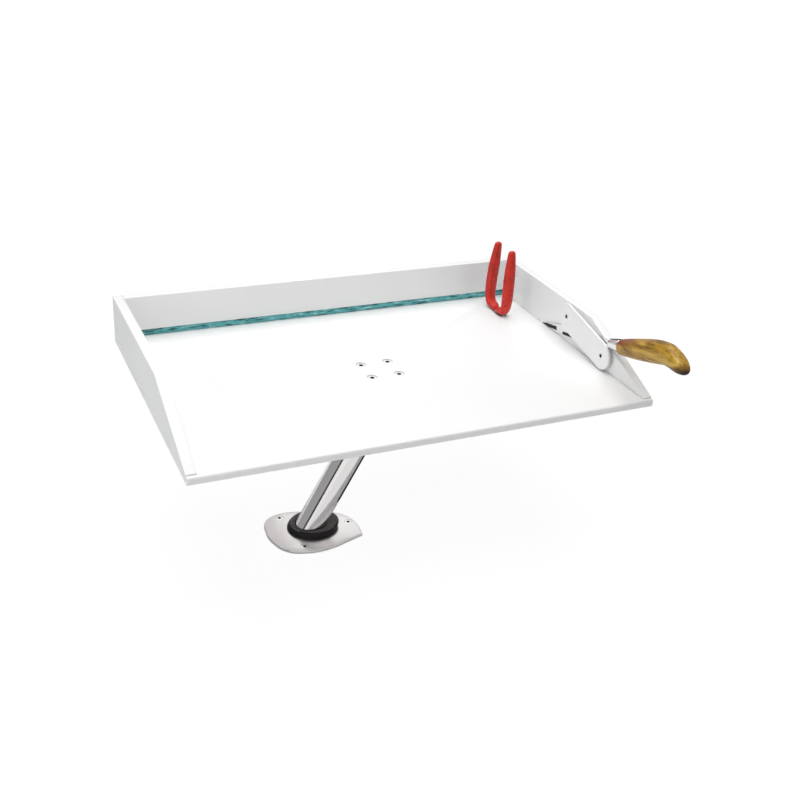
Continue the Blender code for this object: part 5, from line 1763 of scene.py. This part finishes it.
class CUTTING_TABLE_OT_plier_halves(bpy.types.Operator):
    """Forged halves of the pliers and their rivet"""

    bl_idname = "cutting_table.plier_halves"
    bl_label = "Plier halves"

    def execute(self, context):
        sizes = context.scene.plier_sizes
        half = sizes.joint_thickness / 2
        gap = SLIP
        open_by = math.radians(3.0)
        spin = Matrix.Rotation(open_by, 2)
        teeth = 14
        line = handle_stations(sizes)
        for side, name, twin, body in (
            (1, "jaw_rear", "plier_half_rear", "plier_swing"),
            (-1, "jaw_front", "plier_half_front", "pliers"),
        ):
            low, high = (-half, -gap / 2) if side < 0 else (gap / 2, half)
            rim = sizes.joint
            item = turned(name, straight_hole(rim, low, high), 96, axis="X")
            jaw = [
                (gap / 2, -rim * 0.2),
                (gap / 2, -sizes.jaw),
                (gap / 2 + 0.0040, -sizes.jaw),
                (gap / 2 + 0.0060, -sizes.jaw * 0.86),
                (rim * 0.80, -sizes.jaw * 0.50),
                (rim * 0.92, -sizes.jaw * 0.32),
                (rim * 0.95, -rim * 0.95),
                (rim * 0.96, -rim * 0.2),
            ]
            outline = [spin @ Vector(point) for point in jaw]
            outline = [(-side * point.x, point.y) for point in outline]
            nose = settle(outlined("nose", outline, 2 * half, "X"), (-half, 0.0, 0.0))
            round_edges(nose, 0.0009, 3)
            combine(item, nose, "UNION")
            cut = (-gap / 2, half + 0.001) if side < 0 else (-half - 0.001, gap / 2)
            combine(item, turned("relief", straight_hole(rim + gap, *cut), 96, axis="X"))
            for i in range(teeth):
                level = -sizes.jaw * 0.56 - i * sizes.jaw * 0.030
                reach = (half + 0.001, 0.0005, 0.0005)
                tooth = block("tooth", -Vector(reach), reach)
                settle(tooth, rotation=(math.radians(45), 0.0, 0.0))
                place = spin @ Vector((gap / 2 - 0.0002, level))
                combine(item, settle(tooth, (0.0, -side * place.x, place.y)))
            stations, shifts = [], []
            lap = (low + high) / 2
            for across, up, run, shift, wide, deep, wall in line[:-2]:
                distance = math.hypot(across, up)
                clear = min(max((distance - rim - gap - 0.0020) / 0.0040, 0.0), 1.0)
                slim = (high - low) / 2 * 0.9
                thick = slim + (wide - wall - gap - slim) * clear
                thin = (deep - wall - gap) * 0.9
                stations.append((side * across + shift, up, thick, thin, -side * run))
                shifts.append(lap * (1.0 - clear))
            tang = drawn("tang", stations, 20)
            for i, vertex in enumerate(tang.data.vertices):
                vertex.co.x += shifts[min(i // 20, len(shifts) - 1)]
            combine(item, tang, "UNION")
            hole = straight_hole(0.0029, -half - 0.001, half + 0.001)
            drill(item, hole, [(0.0, 0.0, 0.0)], "X", 32)
            settle(item, PLIER_PIVOT)
            dress(item, body, "forged_steel", (twin,), 30.0)
        dome = ((0.0042, 0.0), (0.0036, 0.0004), (0.0026, 0.0008), (0.0012, 0.0010))
        rivet = rivet_profile(0.0026, half + gap, dome)
        pin = settle(turned("rivet_of_pliers", rivet, 40, axis="X"), PLIER_PIVOT)
        dress(pin, "pliers", "stainless", ("plier_rivet",))
        return {"FINISHED"}


# Studio


def soft_lamp(name, place, size, power, tone=(1.0, 1.0, 1.0)):
    """A large soft square lamp that faces the table."""
    deselect()
    bpy.ops.object.light_add(type="AREA", location=place)
    lamp = bpy.context.object
    lamp.name = name
    lamp.data.shape = "RECTANGLE"
    lamp.data.size = lamp.data.size_y = size
    lamp.data.energy = power
    lamp.data.color = tone
    aim = Vector(LAMP_TARGET) - Vector(place)
    lamp.rotation_euler = aim.to_track_quat("-Z", "Y").to_euler()


def reflected_card(name, place, target, size, grey):
    """A card that only mirror-like pieces see."""
    deselect()
    bpy.ops.mesh.primitive_plane_add(size=1.0, location=place)
    card = bpy.context.object
    card.name = name
    card.scale = (size[0], size[1], 1.0)
    card.rotation_euler = (Vector(target) - Vector(place)).to_track_quat("-Z", "Y").to_euler()
    card.visible_camera = False
    card.visible_diffuse = False
    card.visible_shadow = False
    card.visible_transmission = False
    made = bpy.data.materials.new(name)
    made.use_nodes = True
    tree = made.node_tree
    tree.nodes.clear()
    glow = node(tree, "ShaderNodeEmission", {"Color": (grey, grey, grey, 1.0), "Strength": 1.0})
    leaving = tree.nodes.new("ShaderNodeOutputMaterial")
    tree.links.new(glow.outputs[0], leaving.inputs["Surface"])
    card.data.materials.append(made)


def paper_floor():
    """Pale floor that the camera sees nearly white and that keeps the object's shadow."""
    deselect()
    bpy.ops.mesh.primitive_plane_add(size=40.0, location=(0.0, 0.0, 0.0))
    floor = named("floor")
    paper = bpy.data.materials.new("floor_paper")
    paper.use_nodes = True
    tree = paper.node_tree
    shader = tree.nodes["Principled BSDF"]
    shader.inputs["Base Color"].default_value = (0.93, 0.93, 0.93, 1.0)
    shader.inputs["Roughness"].default_value = 0.9
    glow = node(tree, "ShaderNodeEmission", {"Color": (1.0, 1.0, 1.0, 1.0), "Strength": 1.05})
    path = tree.nodes.new("ShaderNodeLightPath")
    away = node(tree, "ShaderNodeVectorMath", operation="LENGTH")
    tree.links.new(object_space(tree), away.inputs[0])
    spread = {"From Min": 0.4, "From Max": 1.5, "To Min": 0.88, "To Max": 1.0}
    clean = node(tree, "ShaderNodeMapRange", spread)
    tree.links.new(away.outputs["Value"], clean.inputs["Value"])
    share = node(tree, "ShaderNodeMath", operation="MULTIPLY")
    tree.links.new(clean.outputs["Result"], share.inputs[1])
    mix = tree.nodes.new("ShaderNodeMixShader")
    tree.links.new(path.outputs["Is Camera Ray"], share.inputs[0])
    tree.links.new(share.outputs[0], mix.inputs["Fac"])
    tree.links.new(shader.outputs["BSDF"], mix.inputs[1])
    tree.links.new(glow.outputs[0], mix.inputs[2])
    tree.links.new(mix.outputs[0], tree.nodes["Material Output"].inputs["Surface"])
    floor.data.materials.append(paper)


def studio_world():
    """Dim room light, a grey that polished metal mirrors, and white for the camera."""
    world = bpy.data.worlds.new("studio")
    world.use_nodes = True
    tree = world.node_tree
    tree.nodes.clear()
    room = node(tree, "ShaderNodeBackground", {"Color": (0.97, 0.98, 1.0, 1.0), "Strength": 0.20})
    path = tree.nodes.new("ShaderNodeLightPath")
    surface = room.outputs[0]
    mirrored, white = (0.72, 0.69, 0.695, 1.0), (1.0, 1.0, 1.0, 1.0)
    for ray, tone in (("Is Glossy Ray", mirrored), ("Is Camera Ray", white)):
        seen = node(tree, "ShaderNodeBackground", {"Color": tone, "Strength": 1.0})
        mix = tree.nodes.new("ShaderNodeMixShader")
        tree.links.new(path.outputs[ray], mix.inputs["Fac"])
        tree.links.new(surface, mix.inputs[1])
        tree.links.new(seen.outputs[0], mix.inputs[2])
        surface = mix.outputs[0]
    leaving = tree.nodes.new("ShaderNodeOutputWorld")
    tree.links.new(surface, leaving.inputs["Surface"])
    return world


def photo_camera():
    """Camera with the photograph's place, direction, tilt and lens."""
    eye = Vector((-0.43886, -1.15309, 0.85825))
    yaw, pitch, roll = (math.radians(angle) for angle in (26.2297, 27.6666, 4.2371))
    ahead = math.cos(pitch)
    gaze = Vector((math.sin(yaw) * ahead, math.cos(yaw) * ahead, -math.sin(pitch)))
    level_right = Vector((math.cos(yaw), -math.sin(yaw), 0.0))
    level_up = level_right.cross(gaze)
    right = level_right * math.cos(roll) + level_up * math.sin(roll)
    up = level_up * math.cos(roll) - level_right * math.sin(roll)
    deselect()
    bpy.ops.object.camera_add()
    camera = bpy.context.object
    camera.name = "photo_camera"
    camera.data.sensor_width = 36.0
    camera.data.lens = 48.49
    camera.data.clip_start = 0.01
    camera.data.clip_end = 100.0
    turn = Matrix((right, up, -gaze)).transposed()
    camera.matrix_world = Matrix.Translation(eye) @ turn.to_4x4()
    return camera


# Cards: name, place, the point they face, width and height, brightness
CARDS = (
    ("grey_card_left", (-0.8, 0.90, 0.30), (0.0, 0.90, 0.30), (2.6, 1.2), 0.38),
    ("dark_card_left", (-0.79, -0.43, 0.30), (0.0, -0.43, 0.30), (0.24, 1.2), 0.03),
    ("white_card", (-0.50, -0.95, 0.25), (0.08, 0.0, 0.15), (1.1, 0.9), 1.0),
    ("white_card_back", (0.50, 0.98, 0.77), (0.10, 0.0, 0.23), (0.40, 0.35), 1.2),
    ("white_card_low", (0.0, -0.52, 0.003), (0.0, -0.52, 1.0), (0.80, 0.80), 0.9),
    ("dark_card_low", (0.22, 0.12, 0.003), (0.22, 0.12, 1.0), (0.28, 0.28), 0.01),
)


class CUTTING_TABLE_OT_studio(bpy.types.Operator):
    """White floor, soft lamps, reflected cards and the camera"""

    bl_idname = "cutting_table.studio"
    bl_label = "Studio"

    def execute(self, context):
        scene = context.scene
        scene.view_settings.view_transform = "Standard"
        paper_floor()
        scene.world = studio_world()
        soft_lamp("top_lamp", (0.1, 0.1, 2.2), 2.4, 47.0)
        soft_lamp("left_lamp", (-2.0, -0.9, 1.1), 1.4, 9.5, (0.95, 0.98, 1.0))
        soft_lamp("right_lamp", (1.9, -1.2, 1.0), 1.2, 1.0, (1.0, 0.99, 0.97))
        for card in CARDS:
            reflected_card(*card)
        scene.camera = photo_camera()
        return {"FINISHED"}


class CUTTING_TABLE_PT_panel(bpy.types.Panel):
    """Lists the pieces of the cutting table"""

    bl_label = "Cutting table"
    bl_idname = "CUTTING_TABLE_PT_panel"
    bl_space_type = "VIEW_3D"
    bl_region_type = "UI"
    bl_category = "Cutting table"

    def draw(self, context):
        for operator in PIECES:
            self.layout.operator(operator.bl_idname)
        for name in GROUPS:
            group = getattr(context.scene, name)
            box = self.layout.box()
            for key in group.__annotations__:
                box.prop(group, key)


GROUPS = {
    "tray_sizes": TraySizes,
    "clamp_sizes": ClampSizes,
    "holder_sizes": HolderSizes,
    "knife_sizes": KnifeSizes,
    "plier_sizes": PlierSizes,
    "finish_colours": FinishColours,
}
PIECES = (
    CUTTING_TABLE_OT_studio,
    CUTTING_TABLE_OT_finishes,
    CUTTING_TABLE_OT_board,
    CUTTING_TABLE_OT_walls,
    CUTTING_TABLE_OT_strip,
    CUTTING_TABLE_OT_guard,
    CUTTING_TABLE_OT_tray_screws,
    CUTTING_TABLE_OT_wall_screws,
    CUTTING_TABLE_OT_guard_screws,
    CUTTING_TABLE_OT_deck_screws,
    CUTTING_TABLE_OT_bracket,
    CUTTING_TABLE_OT_clamp,
    CUTTING_TABLE_OT_knob,
    CUTTING_TABLE_OT_post,
    CUTTING_TABLE_OT_flange,
    CUTTING_TABLE_OT_holder,
    CUTTING_TABLE_OT_blade,
    CUTTING_TABLE_OT_ferrule,
    CUTTING_TABLE_OT_grip,
    CUTTING_TABLE_OT_plier_grips,
    CUTTING_TABLE_OT_plier_halves,
)


def register():
    for name, group in GROUPS.items():
        bpy.utils.register_class(group)
        setattr(bpy.types.Scene, name, PointerProperty(type=group))
    for operator in PIECES:
        bpy.utils.register_class(operator)
    bpy.utils.register_class(CUTTING_TABLE_PT_panel)


def unregister():
    bpy.utils.unregister_class(CUTTING_TABLE_PT_panel)
    for operator in reversed(PIECES):
        bpy.utils.unregister_class(operator)
    for name, group in reversed(GROUPS.items()):
        delattr(bpy.types.Scene, name)
        bpy.utils.unregister_class(group)


def main():
    register()
    bpy.ops.cutting_table.studio()
    bpy.ops.cutting_table.finishes()
    bpy.ops.cutting_table.board()
    bpy.ops.cutting_table.walls()
    bpy.ops.cutting_table.strip()
    bpy.ops.cutting_table.guard()
    bpy.ops.cutting_table.tray_screws()
    bpy.ops.cutting_table.wall_screws()
    bpy.ops.cutting_table.guard_screws()
    bpy.ops.cutting_table.deck_screws()
    bpy.ops.cutting_table.bracket()
    bpy.ops.cutting_table.clamp()
    bpy.ops.cutting_table.knob()
    bpy.ops.cutting_table.post()
    bpy.ops.cutting_table.flange()
    bpy.ops.cutting_table.holder()
    bpy.ops.cutting_table.blade()
    bpy.ops.cutting_table.ferrule()
    bpy.ops.cutting_table.grip()
    bpy.ops.cutting_table.plier_grips()
    bpy.ops.cutting_table.plier_halves()
    deselect()


if __name__ == "__main__":
    main()
